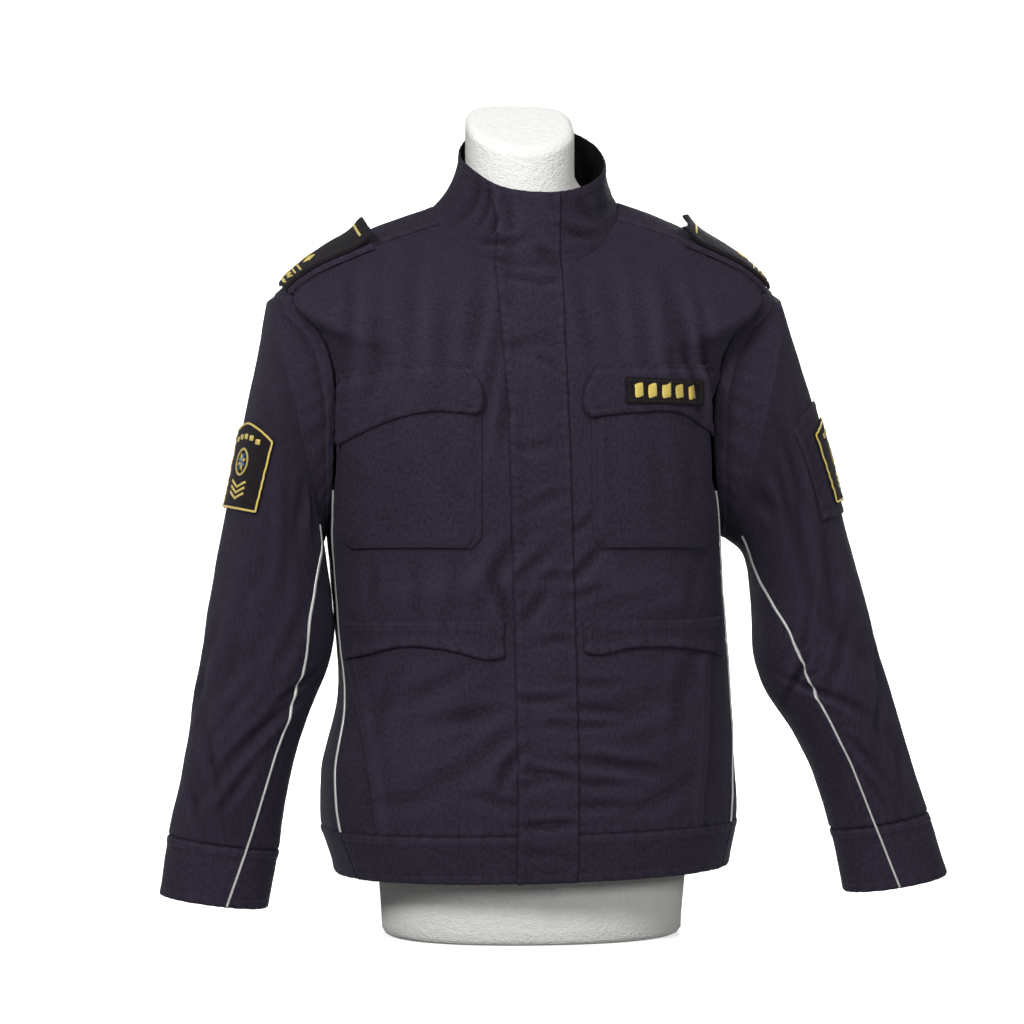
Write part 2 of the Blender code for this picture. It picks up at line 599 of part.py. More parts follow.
def hem_bands():
    """The doubled band below the hem seam: two fronts, two sides and the back."""
    level = trimmed(HEM_LEVELS, lowest=False)
    for name, side in SIDES:
        front = side_seam_angle(level, side, True)
        rear = side_seam_angle(level, side, False)
        middle = angle_at_x(smooth(PLACKET, "level", "middle", level) + side * SEAM_GAP / 2, level)
        before_seam = moved_round(front, level, -side * SEAM_GAP / 2)
        past_seam = moved_round(front, level, side * SEAM_GAP / 2)
        side_end = moved_round(rear, level, -side * SEAM_GAP / 2)
        spans = {
            "hem_front_" + name: between(middle, before_seam, 11),
            "hem_side_" + name: between(past_seam, side_end, 9),
        }
        for piece, angle in spans.items():
            torso_wall(piece, angle, np.broadcast_to(level[:, None], angle.shape), -HALF, HALF + HEM_PROUD)
    start = moved_round(side_seam_angle(level, LEFT, False), level, SEAM_GAP / 2)
    end = moved_round(side_seam_angle(level, RIGHT, False) + 2 * np.pi, level, -SEAM_GAP / 2)
    angle = between(start, end, 15)
    torso_wall("hem_back", angle, np.broadcast_to(level[:, None], angle.shape), -HALF, HALF + HEM_PROUD)


def collar_normal(angle, part):
    """The way out of the collar's surface."""
    return normals_of(collar, angle, part, 0.02, 0.02)


def collar_piece():
    """The stand collar, whose ends meet in front under the placket."""
    turns = np.linspace(COLLAR_END_GAP, 2 * np.pi - COLLAR_END_GAP, 31)
    angle, part = np.meshgrid(turns, np.linspace(0, 1, 5))
    wall("collar", collar(angle, part), collar_normal(angle, part), -HALF, HALF)


def placket():
    """The fly over the front opening, laid on the fronts and the collar from hem to collar top."""
    across = np.linspace(-0.5, 0.5, 5)
    beside_armhole = smooth(ARMHOLE, "along", "level", ARMHOLE_STEPS)
    levels = np.concatenate([HEM_LEVELS[:-1], LOWER_LEVELS, beside_armhole, SHOULDER_LEVELS[1:]])
    levels[-1] -= 0.004
    middle, width = (smooth(PLACKET, "level", column, levels)[:, None] for column in ("middle", "width"))
    x = middle + across * width
    level = np.broadcast_to(levels[:, None], x.shape)
    angle = angle_at_x(x, level)
    body, body_normal = torso(angle, level), torso_normal(angle, level)
    neck_angle = angle_at_x(x[-1], levels[-1:].repeat(len(across)))
    turn, part = np.meshgrid(neck_angle, np.linspace(PLACKET_ON_COLLAR, 1, 5))
    turn = turn - PLACKET_FLARE * part * (0.5 - across)
    neck, neck_normal = collar(turn, part), collar_normal(turn, part)
    surface = np.concatenate([body, neck])
    normal = np.concatenate([body_normal, neck_normal])
    lift = HALF + PLACKET_LIFT
    wall("placket", surface, normal, lift, lift + PATCH)


def laid_patch(name, x, z, inner, outer, **looks):
    """A patch laid on the front, between two distances out from the panel's face."""
    angle, level = place_on_front(x, z)
    torso_wall(name, angle, level, HALF + inner, HALF + outer, **looks)


def denser_outside(count):
    """Places from 0 to 1 that crowd towards 1, where the front turns round to the side."""
    return 1 - (1 - np.linspace(0, 1, count)) ** 1.4


def chest_pocket(name, side):
    """A bellows pocket with rounded lower corners, pressed flat on the front."""
    across, down = np.meshgrid(denser_outside(9), np.array([0, 0.25, 0.5, 0.75, 0.93, 0.98, 1]))
    corner = 0.010 * np.clip((down - 0.9) / 0.1, 0, 1) ** 2
    inner_x = POCKET_INNER_X[side] + corner
    x = inner_x + (POCKET_OUTER_X[side] - corner - inner_x) * across
    z = POCKET_TOP + (POCKET_BOTTOM - POCKET_TOP) * down
    laid_patch(name, side * x, z, LAID_GAP, LAID_GAP + POCKET_THICK)


def chest_flap(name, side):
    """The flap: sewn on above the pocket, it steps out over the pocket's top and hangs on it."""
    across, down = np.meshgrid(denser_outside(9), np.array([0, 0.05, 0.17, 0.4, 0.7, 0.9, 1]))
    inner_x = FLAP_INNER_X[side] + smooth(FLAP_SLANT, "down", "inset", down)
    x = inner_x + (POCKET_OUTER_X[side] + 0.002 - inner_x) * across
    top = FLAP_TOP + smooth(FLAP_EDGES[side], "part", "top", across)
    z = top + (smooth(FLAP_EDGES[side], "part", "bottom", across) - top) * down
    sewn = 1.3 * LAID_GAP
    lift = sewn + (FLAP_ON_POCKET - sewn) * np.clip((down - 0.05) / 0.12, 0, 1)
    laid_patch(name, side * x, z, lift, lift + PATCH)


def name_tape():
    """The tape on the left chest flap."""
    x, z = np.meshgrid(np.linspace(*TAPE_X, 7), np.linspace(*TAPE_Z, 3))
    lift = FLAP_ON_POCKET + PATCH + LAID_GAP * 1.4
    laid_patch("name_tape", x, z, lift, lift + TAPE_THICK, color=BLACK)


def lower_flap(name, side):
    """The flap of a pocket let into the front: its lower edge bows up in the middle."""
    rows = LOWER_FLAPS[side]
    across, down = np.meshgrid(denser_outside(11), np.linspace(0, 1, 4))
    top, bottom = smooth(rows, "part", "top", across), smooth(rows, "part", "bottom", across)
    x = smooth(rows, "part", "x", across)
    laid_patch(name, side * x, top + (bottom - top) * down, LAID_GAP, LAID_GAP + PATCH)


def side_piping(name, side):
    """The reflective piping in the seam between a front and its side panel."""
    levels = np.concatenate([LOWER_LEVELS[:1] + SEAM_GAP, LOWER_LEVELS[1:-1], LOWER_LEVELS[-1:] - 0.008])
    level = np.broadcast_to(levels[:, None], (len(levels), 2))
    seam = side_seam_angle(level, side, True)
    offset = np.array([-0.5, 0.5])[None, :] * PIPING_WIDTH
    angle = moved_round(seam, level, side * offset)
    lift = HALF + PIPING_SEAT
    torso_wall(name, angle, level, lift, lift + PIPING_HEIGHT, color=SILVER, roughness=0.4)


def sleeve_wall(name, side, ring, turn, inner, outer, **looks):
    """A wall cut from a sleeve's surface."""
    return wall(name, sleeve(side, ring, turn), sleeve_normal(side, ring, turn), inner, outer, **looks)


SLEEVE_RINGS = np.array([1, 1.6, 2.3, 3, 3.7, 4.4, 5, 5.6, 6.2, 6.8, 7.4, 8, 8.7, 9.4, 10])

def moved_along(side, ring, turn, distance):
    """The ring number moved this far down the sleeve, in metres."""
    step = 0.05 * np.sign(distance)
    speed = np.linalg.norm(plain_sleeve(side, ring + step, turn) - plain_sleeve(side, ring, turn), axis=-1)
    return ring + distance * abs(step) / speed


def armhole_band(name, side):
    """The doubled band round the armhole, which stands a little proud of the sleeve."""
    along = np.concatenate([UNDERARM_STEPS[::-1], ARMHOLE_STEPS])
    half = ARMHOLE_TOP + along * (np.pi - ARMHOLE_TOP)
    turns = np.concatenate([np.linspace(-ARMHOLE_TOP, ARMHOLE_TOP, 7), half[-2::-1], -half[1:-1]])
    turn, ring = np.meshgrid(turns, np.array([0, 0.5, 1.0]))
    ring[-1] = moved_along(side, ring[-1], turns, -RING_GAP)
    sleeve_wall(name, side, ring, turn, -HALF, HALF + BAND_PROUD * (1 + np.cos(turn)) / 2, closed=True)


def sleeve_pieces(name, side):
    """A two-piece sleeve: the upper one over the outer side, the under one against the body."""
    gap = SEAM_GAP / SLEEVE_RADIUS
    front = front_seam(side, SLEEVE_RINGS)
    back = np.full(len(SLEEVE_RINGS), BACK_SEAM)
    for piece, start, end, count in (
        ("sleeve_upper_" + name, back + gap, front - gap, 13),
        ("sleeve_under_" + name, front + gap, back + 2 * np.pi - gap, 8),
    ):
        turn = between(start, end, count)
        ring = np.repeat(SLEEVE_RINGS[:, None], count, axis=1)
        ring[0] = moved_along(side, ring[0], turn[0], RING_GAP)
        ring[-1] = moved_along(side, ring[-1], turn[-1], -RING_GAP)
        sleeve_wall(piece, side, ring, turn, -HALF, HALF)


def cuff(name, side):
    """The doubled end of a sleeve."""
    turn, ring = np.meshgrid(np.linspace(0, 2 * np.pi, 25)[:-1], np.array([CUFF_RING, 10.5, CUFF_END]))
    ring[0] = moved_along(side, ring[0], turn[0], RING_GAP)
    sleeve_wall(name, side, ring, turn, -HALF, HALF, closed=True)


def sleeve_piping(name, side):
    """The reflective piping down the sleeve's front seam and over the cuff."""
    rings = np.concatenate([SLEEVE_RINGS[1:], [10.5, CUFF_END - 0.01]])
    ring = np.broadcast_to(rings[:, None], (len(rings), 2))
    offset = np.array([-0.5, 0.5])[None, :] * PIPING_WIDTH / SLEEVE_RADIUS
    turn = front_seam(side, ring) + offset
    lift = HALF + SLEEVE_PIPING_SEAT
    sleeve_wall(name, side, ring, turn, lift, lift + PIPING_HEIGHT, color=SILVER, roughness=0.4)


def ring_at_height(side, height, turn):
    """The ring at this height square to the leaning sleeve, by repeated correction."""
    ring = np.full(np.shape(turn), 4.0)
    for _ in range(30):
        place = plain_sleeve(side, ring, turn)
        ring = ring + (place[..., 2] - side * place[..., 0] * SLEEVE_LEAN[side] - height) / 0.07
    return ring


def badge_shape(side, place):
    """A shield: a foot, sides that draw in towards it, and a top that rises in an arch."""
    middle, half_turn, foot, top, drop = place
    across, down = np.meshgrid(np.linspace(-1, 1, 9), np.array([0, 0.15, 0.45, 0.75, 1]))
    edge = top - drop * np.abs(across) ** BADGE_ROUNDNESS
    turn = np.radians(middle + half_turn * across * (1 - BADGE_NARROWING * down))
    return ring_at_height(side, edge + (foot - edge) * down, turn), turn


def badges():
    """A shield on each sleeve, and on the left sleeve the cloth backing under it."""
    for name, side in SIDES:
        lift = HALF + BADGE_LIFT
        if side == LEFT:
            ring, turn = badge_shape(side, BACKING_PLACE)
            sleeve_wall("badge_backing_left", side, ring, turn, lift, lift + BACKING_THICK)
            lift += BACKING_THICK + LAID_GAP
        ring, turn = badge_shape(side, BADGE_PLACES[side])
        sleeve_wall("sleeve_badge_" + name, side, ring, turn, lift, lift + BADGE_THICK, color=BLACK)


def shoulder_trim(name, side):
    """The shoulder strap along the ridge, and the rank slide on it with its inner end raised."""
    for piece, depths, levels, low, thick, color in (
        ("shoulder_strap_" + name, STRAP_DEPTH, STRAP_LEVELS, LAID_GAP, STRAP_THICK, NAVY),
        ("rank_slide_" + name, SLIDE_DEPTH, SLIDE_LEVELS, 2 * LAID_GAP + STRAP_THICK, SLIDE_THICK, BLACK),
    ):
        depth, level = np.meshgrid(np.linspace(*depths, 6), np.linspace(*levels, 7))
        rise = SLIDE_RISE if color is BLACK else 0.0
        start, end = SLIDE_RISE_LEVELS
        lift = HALF + low + rise * np.clip((level - start) / (end - start), 0, 1) ** 2
        torso_wall(piece, angle_at_depth(depth, level, side), level, lift, lift + thick, color=color)


def form_ring(angle, level):
    """The form's surface under the cloth: the torso moved in by the table's distances."""
    size = ring_sizes(level)
    share = np.cos(angle) ** 2
    inset = size["form_side"] * (1 - share) + size["form_front"] * share
    return plain_torso(angle, level) - torso_normal(angle, level) * inset[..., None]


def neck_ring(angle, radius, below_top):
    """A ring of the form's neck: round in front, flat behind and parallel to its slanted top."""
    sideways, forward = np.sin(angle), np.cos(angle)
    power = np.where(forward > 0, 2.0, NECK_SQUARE)
    reach = radius * (np.abs(sideways) ** power + np.abs(forward) ** power) ** (-1 / power)
    x, y = sideways * reach, -forward * reach * np.where(forward > 0, 1.0, NECK_BACK / NECK_RADIUS)
    return np.stack([x, y, NECK_TOP_Z + y * NECK_TOP_SLOPE - below_top], axis=-1)


def dress_form():
    """The closed form: a flat base, hips, waist and chest, and a neck with a slanted top."""
    columns = FORM_COLUMNS
    angle = np.arange(columns) * 2 * np.pi / columns
    rings = [form_ring(angle, np.full(columns, level)) for level in FORM_LEVELS]
    rings[0] = rings[0] * np.array(FORM_FOOT)
    rings[1][:, 2] = FORM_LEVELS[1]
    shoulder = rings[-1]
    for part, below in NECK_BLENDS:
        ring = neck_ring(angle, NECK_RADIUS, below)
        ring[:, 2] = shoulder[:, 2] + (ring[:, 2] - shoulder[:, 2]) * part
        ring[:, :2] = shoulder[:, :2] + (ring[:, :2] - shoulder[:, :2]) * (0.55 + 0.45 * part)
        rings.append(ring)
    rings += [neck_ring(angle, NECK_RADIUS - inset, below) for inset, below in NECK_RINGS]
    number = np.arange(len(rings) * columns).reshape(len(rings), columns)
    faces = [tuple(int(k) for k in number[0]), tuple(int(k) for k in reversed(number[-1]))]
    for row in range(len(rings) - 1):
        for column in range(columns):
            after = (column + 1) % columns
            here, above = number[row], number[row + 1]
            faces.append(tuple(int(k) for k in (above[column], above[after], here[after], here[column])))
    new_object("dress_form", np.concatenate(rings), faces, JERSEY, 0.9)


def main():
    for item in list(bpy.data.objects):
        bpy.data.objects.remove(item)
    dress_form()
    for name, side in SIDES:
        front_panel("front_" + name, side)
        side_panel("side_panel_" + name, side)
        chest_pocket("chest_pocket_" + name, side)
        chest_flap("chest_flap_" + name, side)
        lower_flap("lower_flap_" + name, side)
        side_piping("piping_body_" + name, side)
        armhole_band("armhole_band_" + name, side)
        sleeve_pieces(name, side)
        cuff("cuff_" + name, side)
        sleeve_piping("piping_sleeve_" + name, side)
        shoulder_trim(name, side)
    back_panel()
    yoke()
    hem_bands()
    collar_piece()
    placket()
    name_tape()
    badges()


main()
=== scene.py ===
"""The looks of a uniform jacket on a dress form: cloth, sewing, badges and a studio.

Metres, +Z up, the front faces -Y. Right and left are the wearer's: the right side is at -X.
Every cloth piece is cut from one of three surfaces: the torso (angle, level), the collar
(angle, part) and a sleeve (ring, turn). Creases move these surfaces out and in, so whatever
lies on a panel follows the panel's creases.
"""

import bpy
import numpy as np
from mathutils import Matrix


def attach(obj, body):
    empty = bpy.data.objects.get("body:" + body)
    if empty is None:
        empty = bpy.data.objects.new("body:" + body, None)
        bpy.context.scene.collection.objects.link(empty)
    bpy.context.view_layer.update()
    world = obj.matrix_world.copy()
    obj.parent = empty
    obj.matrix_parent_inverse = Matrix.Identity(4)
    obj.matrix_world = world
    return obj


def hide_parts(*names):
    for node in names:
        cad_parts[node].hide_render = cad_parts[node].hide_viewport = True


bl_info = {
    "name": "Uniform jacket",
    "version": (1, 0, 0),
    "blender": (4, 5, 0),
    "location": "3D View > Sidebar > Jacket",
    "description": "Dresses the jacket's solids in cloth, sewing and badges, and sets up a studio",
    "category": "Object",
}

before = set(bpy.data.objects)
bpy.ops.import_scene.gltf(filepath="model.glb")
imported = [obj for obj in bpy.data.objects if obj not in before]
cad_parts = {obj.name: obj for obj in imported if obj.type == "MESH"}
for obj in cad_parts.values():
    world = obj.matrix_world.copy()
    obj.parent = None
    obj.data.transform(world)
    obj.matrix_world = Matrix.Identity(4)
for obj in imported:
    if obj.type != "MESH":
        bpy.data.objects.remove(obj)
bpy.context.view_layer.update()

RIGHT, LEFT = -1.0, 1.0
SIDES = (("right", RIGHT), ("left", LEFT))


def table(names, rows):
    """A table of rows as one array for each named column."""
    return dict(zip(names.split(), np.array(rows, float).T))


HEM_LEVEL = 0.070
HEM_SEAM = 0.117
YOKE_LEVEL = 0.655
NECK_LEVEL = 0.755

# The torso's rings, from the form's base to the neck seam. form_side and form_front are the
# form's distance inside the cloth, fall is how the ring sinks from its side to its middle, and
# lean is how much higher it hangs for each metre towards the left.
TORSO = table(
    "level half_width front back z_side z_front z_back square fall shift lean form_side form_front",
    [
        (0.000, 0.198, 0.154, 0.142, 0.000, 0.000, 0.000, 2.2, 2.0, 0.012, 0.018, 0.042, 0.040),
        (0.070, 0.205, 0.160, 0.146, 0.070, 0.070, 0.070, 2.3, 2.0, 0.012, 0.018, 0.043, 0.042),
        (0.117, 0.216, 0.167, 0.152, 0.117, 0.117, 0.117, 2.3, 2.0, 0.009, 0.016, 0.047, 0.044),
        (0.170, 0.216, 0.169, 0.154, 0.170, 0.170, 0.170, 2.3, 2.0, 0.008, 0.012, 0.046, 0.042),
        (0.250, 0.2045, 0.165, 0.148, 0.250, 0.250, 0.250, 2.3, 2.0, 0.014, 0.006, 0.040, 0.036),
        (0.330, 0.203, 0.160, 0.140, 0.330, 0.330, 0.330, 2.4, 2.0, 0.009, 0.000, 0.037, 0.032),
        (0.420, 0.204, 0.158, 0.142, 0.420, 0.420, 0.420, 2.6, 2.0, 0.002, 0.000, 0.031, 0.028),
        (0.500, 0.206, 0.157, 0.146, 0.500, 0.500, 0.500, 2.7, 2.0, -0.003, 0.000, 0.024, 0.024),
        (0.560, 0.209, 0.152, 0.148, 0.568, 0.553, 0.560, 2.8, 2.0, -0.002, 0.003, 0.016, 0.020),
        (0.620, 0.224, 0.145, 0.147, 0.634, 0.590, 0.620, 2.9, 2.0, 0.001, 0.008, 0.008, 0.015),
        (0.655, 0.249, 0.135, 0.143, 0.677, 0.611, 0.655, 3.0, 1.8, 0.004, 0.012, 0.0023, 0.011),
        (0.675, 0.228, 0.131, 0.137, 0.699, 0.629, 0.683, 2.9, 1.7, 0.005, 0.015, 0.0021, 0.009),
        (0.695, 0.198, 0.126, 0.128, 0.720, 0.645, 0.708, 2.7, 1.5, 0.005, 0.018, 0.0021, 0.007),
        (0.715, 0.164, 0.119, 0.115, 0.737, 0.661, 0.732, 2.5, 1.4, 0.005, 0.022, 0.0021, 0.006),
        (0.735, 0.128, 0.110, 0.098, 0.751, 0.677, 0.755, 2.2, 1.2, 0.005, 0.028, 0.0034, 0.005),
        (0.755, 0.0945, 0.100, 0.078, 0.762, 0.692, 0.775, 2.0, 1.0, 0.006, 0.034, 0.0050, 0.005),
    ],
)

# Half of the armhole, from its top corner in front of the shoulder to the underarm.
ARMHOLE = table(
    "along depth level",
    [
        (0.00, 0.055, 0.655),
        (0.14, 0.070, 0.632),
        (0.30, 0.080, 0.592),
        (0.50, 0.081, 0.535),
        (0.70, 0.070, 0.476),
        (0.86, 0.043, 0.436),
        (1.00, 0.000, 0.420),
    ],
)
ARMHOLE_TOP = np.radians(24)
SIDE_SEAM_ALONG = 0.72
# How far the armhole's edge is drawn into the hole, past its top corners and at its foot, and out.
ARMHOLE_DRAW, ARMHOLE_DRAW_SIDES, ARMHOLE_DRAW_FOOT = 0.0008, 0.0018, 0.0008
ARMHOLE_OUT = 0.0022

# How far the side seam with its piping, and above it the yoke's front seam, lie before the side.
SIDE_SEAM = table(
    "level depth",
    [(0.070, 0.077), (0.117, 0.075), (0.200, 0.060), (0.300, 0.036), (0.400, 0.042), (0.471, 0.068)],
)
YOKE_SEAM = table(
    "level depth",
    [(0.655, 0.055), (0.675, 0.055), (0.695, 0.052), (0.715, 0.045), (0.735, 0.037), (0.755, 0.029)],
)
PLACKET = table(
    "level middle width",
    [
        (0.070, 0.0092, 0.060), (0.200, 0.0092, 0.060), (0.350, 0.0062, 0.060), (0.500, 0.0023, 0.060),
        (0.600, -0.0005, 0.061), (0.655, -0.0015, 0.063), (0.755, -0.0030, 0.0665),
    ],
)

# Each sleeve's rings: the outer and the inner point, seen from the front, and the depth.
SLEEVE_NAMES = "ring outer_x outer_z inner_x inner_z depth ahead"
SLEEVES = {
    RIGHT: table(
        SLEEVE_NAMES,
        [
            (1, 0.264, 0.658, 0.2075, 0.407, 0.084, 0.000),
            (2, 0.276, 0.594, 0.2035, 0.386, 0.085, 0.002),
            (3, 0.287, 0.540, 0.2010, 0.366, 0.084, 0.004),
            (4, 0.2985, 0.482, 0.1985, 0.342, 0.081, 0.006),
            (5, 0.313, 0.410, 0.1965, 0.314, 0.078, 0.010),
            (6, 0.327, 0.332, 0.2030, 0.281, 0.074, 0.016),
            (7, 0.338, 0.264, 0.2200, 0.240, 0.069, 0.022),
            (8, 0.347, 0.206, 0.2360, 0.197, 0.064, 0.028),
            (9, 0.356, 0.155, 0.2475, 0.145, 0.058, 0.033),
            (10, 0.366, 0.110, 0.2550, 0.094, 0.051, 0.037),
            (11, 0.375, 0.050, 0.2670, 0.035, 0.047, 0.040),
        ],
    ),
    LEFT: table(
        SLEEVE_NAMES,
        [
            (1, 0.275, 0.664, 0.2190, 0.413, 0.084, 0.000),
            (2, 0.292, 0.605, 0.2370, 0.399, 0.085, 0.002),
            (3, 0.309, 0.551, 0.2450, 0.379, 0.084, 0.004),
            (4, 0.327, 0.487, 0.2475, 0.351, 0.081, 0.006),
            (5, 0.3440, 0.418, 0.2480, 0.318, 0.078, 0.010),
            (6, 0.3630, 0.348, 0.2490, 0.285, 0.074, 0.016),
            (7, 0.3785, 0.290, 0.2605, 0.250, 0.069, 0.022),
            (8, 0.3910, 0.243, 0.2840, 0.214, 0.064, 0.028),
            (9, 0.4055, 0.190, 0.3070, 0.168, 0.058, 0.033),
            (10, 0.4260, 0.126, 0.3250, 0.108, 0.051, 0.037),
            (11, 0.4465, 0.061, 0.3390, 0.043, 0.047, 0.040),
        ],
    ),
}
# The sleeve's usual radius turns degrees round it into metres.
SLEEVE_RADIUS = 0.065
CUFF_RING = 10
CUFF_END = 11
BACK_SEAM = np.radians(-125)
FRONT_SEAMS = {
    RIGHT: table("ring degrees", [
        (1, 138), (2.2, 138), (4.2, 126), (5.2, 122), (6.3, 127), (7.6, 129), (9, 121), (10, 113), (11, 103),
    ]),
    LEFT: table("ring degrees", [
        (1, 152), (2.9, 166), (4.6, 140), (5.7, 122), (6.4, 118), (8.5, 115), (9.7, 109), (11, 97),
    ]),
}

COLLAR_HALF_WIDTH = 0.0765
COLLAR_FRONT = 0.088
COLLAR_BACK = 0.075
COLLAR_SHIFT = 0.0125
# The collar's top is drawn in towards the neck in front of the right side.
COLLAR_DRAW, COLLAR_DRAW_ANGLE, COLLAR_DRAW_REACH = 0.006, np.radians(-62), np.radians(21)
COLLAR_Z_FRONT = 0.766
COLLAR_Z_BACK = 0.857
COLLAR_SEAT = 0.0016
COLLAR_NARROWING = 2.2

# The torso's folds fade in between once and twice this far in front of the middle.
FOLD_FADE = 0.03
FOLD_NAMES = "x z half_length half_width lean depth"
# Broad soft folds that the solids have too: place, reach, lean from upright and depth.
SOFT_FOLDS = table(
    FOLD_NAMES,
    [
        (-0.070, 0.655, 0.070, 0.016, 6, -0.003),
        (0.075, 0.650, 0.075, 0.018, -8, -0.003),
        (-0.150, 0.610, 0.060, 0.014, 14, -0.004),
        (0.150, 0.615, 0.060, 0.014, -12, -0.004),
        (-0.075, 0.225, 0.060, 0.026, 35, -0.006),
        (-0.120, 0.190, 0.050, 0.024, 60, 0.004),
        (0.100, 0.245, 0.060, 0.020, 82, -0.005),
        (0.130, 0.180, 0.060, 0.024, -50, -0.004),
        (-0.090, 0.365, 0.070, 0.018, 80, 0.004),
        (0.100, 0.360, 0.070, 0.018, -80, 0.004),
    ],
)
# Creases of the front, each a trough with a low ridge beside it.
FRONT_CREASES = table(
    FOLD_NAMES,
    [
        (-0.186, 0.640, 0.045, 0.006, 4, -0.0020),
        (-0.164, 0.605, 0.060, 0.007, 3, -0.0022),
        (-0.125, 0.630, 0.055, 0.008, 5, -0.0018),
        (-0.096, 0.615, 0.060, 0.009, 2, -0.0016),
        (-0.058, 0.640, 0.050, 0.008, 8, -0.0020),
        (-0.044, 0.590, 0.055, 0.007, 10, -0.0026),
        (-0.033, 0.545, 0.045, 0.006, 6, -0.0028),
        (0.050, 0.640, 0.050, 0.008, -6, -0.0014),
        (0.110, 0.625, 0.060, 0.009, -3, -0.0018),
        (0.140, 0.600, 0.050, 0.007, -6, -0.0022),
        (0.160, 0.585, 0.060, 0.006, -8, -0.0034),
        (0.178, 0.600, 0.055, 0.006, -10, -0.0034),
        (0.186, 0.545, 0.050, 0.006, -4, -0.0040),
        (0.196, 0.500, 0.040, 0.006, 6, -0.0030),
        (-0.150, 0.520, 0.045, 0.008, 4, -0.0014),
        (-0.105, 0.500, 0.050, 0.009, -6, -0.0016),
        (-0.070, 0.475, 0.040, 0.008, 20, -0.0014),
        (0.075, 0.500, 0.045, 0.009, 3, -0.0014),
        (0.125, 0.480, 0.050, 0.008, -3, -0.0016),
        (0.160, 0.470, 0.040, 0.007, -5, -0.0018),
        (-0.160, 0.362, 0.024, 0.005, 2, -0.0016),
        (-0.120, 0.360, 0.028, 0.006, -4, -0.0018),
        (-0.085, 0.365, 0.030, 0.006, 6, -0.0014),
        (-0.040, 0.385, 0.030, 0.008, 30, -0.0040),
        (-0.036, 0.350, 0.026, 0.006, -18, -0.0030),
        (0.048, 0.388, 0.024, 0.005, 42, -0.0032),
        (0.046, 0.428, 0.018, 0.004, 50, -0.0022),
        (0.050, 0.360, 0.022, 0.005, 70, -0.0020),
        (0.110, 0.355, 0.040, 0.007, 78, -0.0012),
        (0.160, 0.362, 0.030, 0.006, 12, -0.0014),
        (-0.110, 0.262, 0.045, 0.008, 64, -0.0022),
        (-0.075, 0.236, 0.036, 0.007, 78, -0.0026),
        (-0.050, 0.205, 0.034, 0.008, 58, -0.0034),
        (-0.085, 0.176, 0.050, 0.009, 68, -0.0026),
        (-0.120, 0.150, 0.040, 0.008, 80, -0.0016),
        (-0.034, 0.182, 0.022, 0.006, 30, -0.0036),
        (-0.040, 0.150, 0.026, 0.006, 104, -0.0020),
        (-0.150, 0.250, 0.040, 0.008, 20, -0.0016),
        (0.058, 0.268, 0.024, 0.0045, 92, -0.0020),
        (0.060, 0.243, 0.030, 0.0045, 96, -0.0022),
        (0.056, 0.226, 0.020, 0.0040, 88, -0.0018),
        (0.080, 0.187, 0.046, 0.0060, 99, -0.0040),
        (0.062, 0.168, 0.026, 0.0045, 94, -0.0018),
        (0.064, 0.146, 0.030, 0.0050, 90, -0.0020),
        (0.120, 0.215, 0.040, 0.009, 74, -0.0018),
        (0.150, 0.255, 0.050, 0.009, 10, -0.0018),
        (0.125, 0.150, 0.035, 0.008, 66, -0.0018),
    ],
)
# The back has plain hanging folds between the shoulder blades and over the hem.
BACK_CREASES = table(
    FOLD_NAMES,
    [
        (-0.150, 0.560, 0.070, 0.009, 8, -0.0030),
        (-0.110, 0.520, 0.080, 0.011, 4, -0.0026),
        (-0.055, 0.540, 0.075, 0.012, -3, -0.0022),
        (0.010, 0.500, 0.090, 0.013, 2, -0.0020),
        (0.070, 0.545, 0.070, 0.011, 5, -0.0024),
        (0.120, 0.520, 0.080, 0.010, -5, -0.0028),
        (0.155, 0.570, 0.060, 0.008, -9, -0.0032),
        (-0.120, 0.360, 0.060, 0.012, 72, -0.0030),
        (-0.030, 0.330, 0.060, 0.012, 84, -0.0030),
        (0.060, 0.345, 0.065, 0.012, 100, -0.0032),
        (0.130, 0.310, 0.050, 0.011, 66, -0.0028),
        (-0.090, 0.250, 0.060, 0.012, 30, -0.0026),
        (0.000, 0.220, 0.060, 0.014, -20, -0.0030),
        (0.090, 0.230, 0.060, 0.012, 40, -0.0026),
        (-0.140, 0.180, 0.050, 0.010, 74, -0.0022),
        (0.120, 0.165, 0.050, 0.010, 98, -0.0022),
        (0.010, 0.150, 0.050, 0.009, 88, -0.0020),
    ],
)
# The fly's own creases: short ones across it, in the same columns.
PLACKET_CREASES = table(
    FOLD_NAMES,
    [
        (-0.012, 0.716, 0.016, 0.0050, 52, -0.0020),
        (0.012, 0.704, 0.018, 0.0050, -48, -0.0022),
        (-0.006, 0.676, 0.020, 0.0045, 96, -0.0026),
        (0.014, 0.672, 0.014, 0.0040, 70, -0.0018),
        (-0.008, 0.610, 0.022, 0.0055, 74, -0.0016),
        (0.012, 0.590, 0.018, 0.0045, 118, -0.0018),
        (0.000, 0.506, 0.024, 0.0060, 78, -0.0014),
        (0.006, 0.452, 0.022, 0.0060, 66, -0.0016),
        (-0.004, 0.388, 0.024, 0.0060, 50, -0.0024),
        (0.014, 0.376, 0.016, 0.0045, 88, -0.0020),
        (-0.004, 0.345, 0.022, 0.0055, 36, -0.0024),
        (0.016, 0.312, 0.016, 0.0045, 82, -0.0020),
        (0.004, 0.253, 0.026, 0.0045, 90, -0.0026),
        (0.016, 0.228, 0.014, 0.0040, 96, -0.0018),
        (0.008, 0.178, 0.026, 0.0045, 99, -0.0036),
        (-0.004, 0.170, 0.016, 0.0045, 78, -0.0022),
        (0.010, 0.128, 0.026, 0.0045, 86, -0.0032),
        (0.000, 0.100, 0.020, 0.0050, 92, -0.0014),
    ],
)
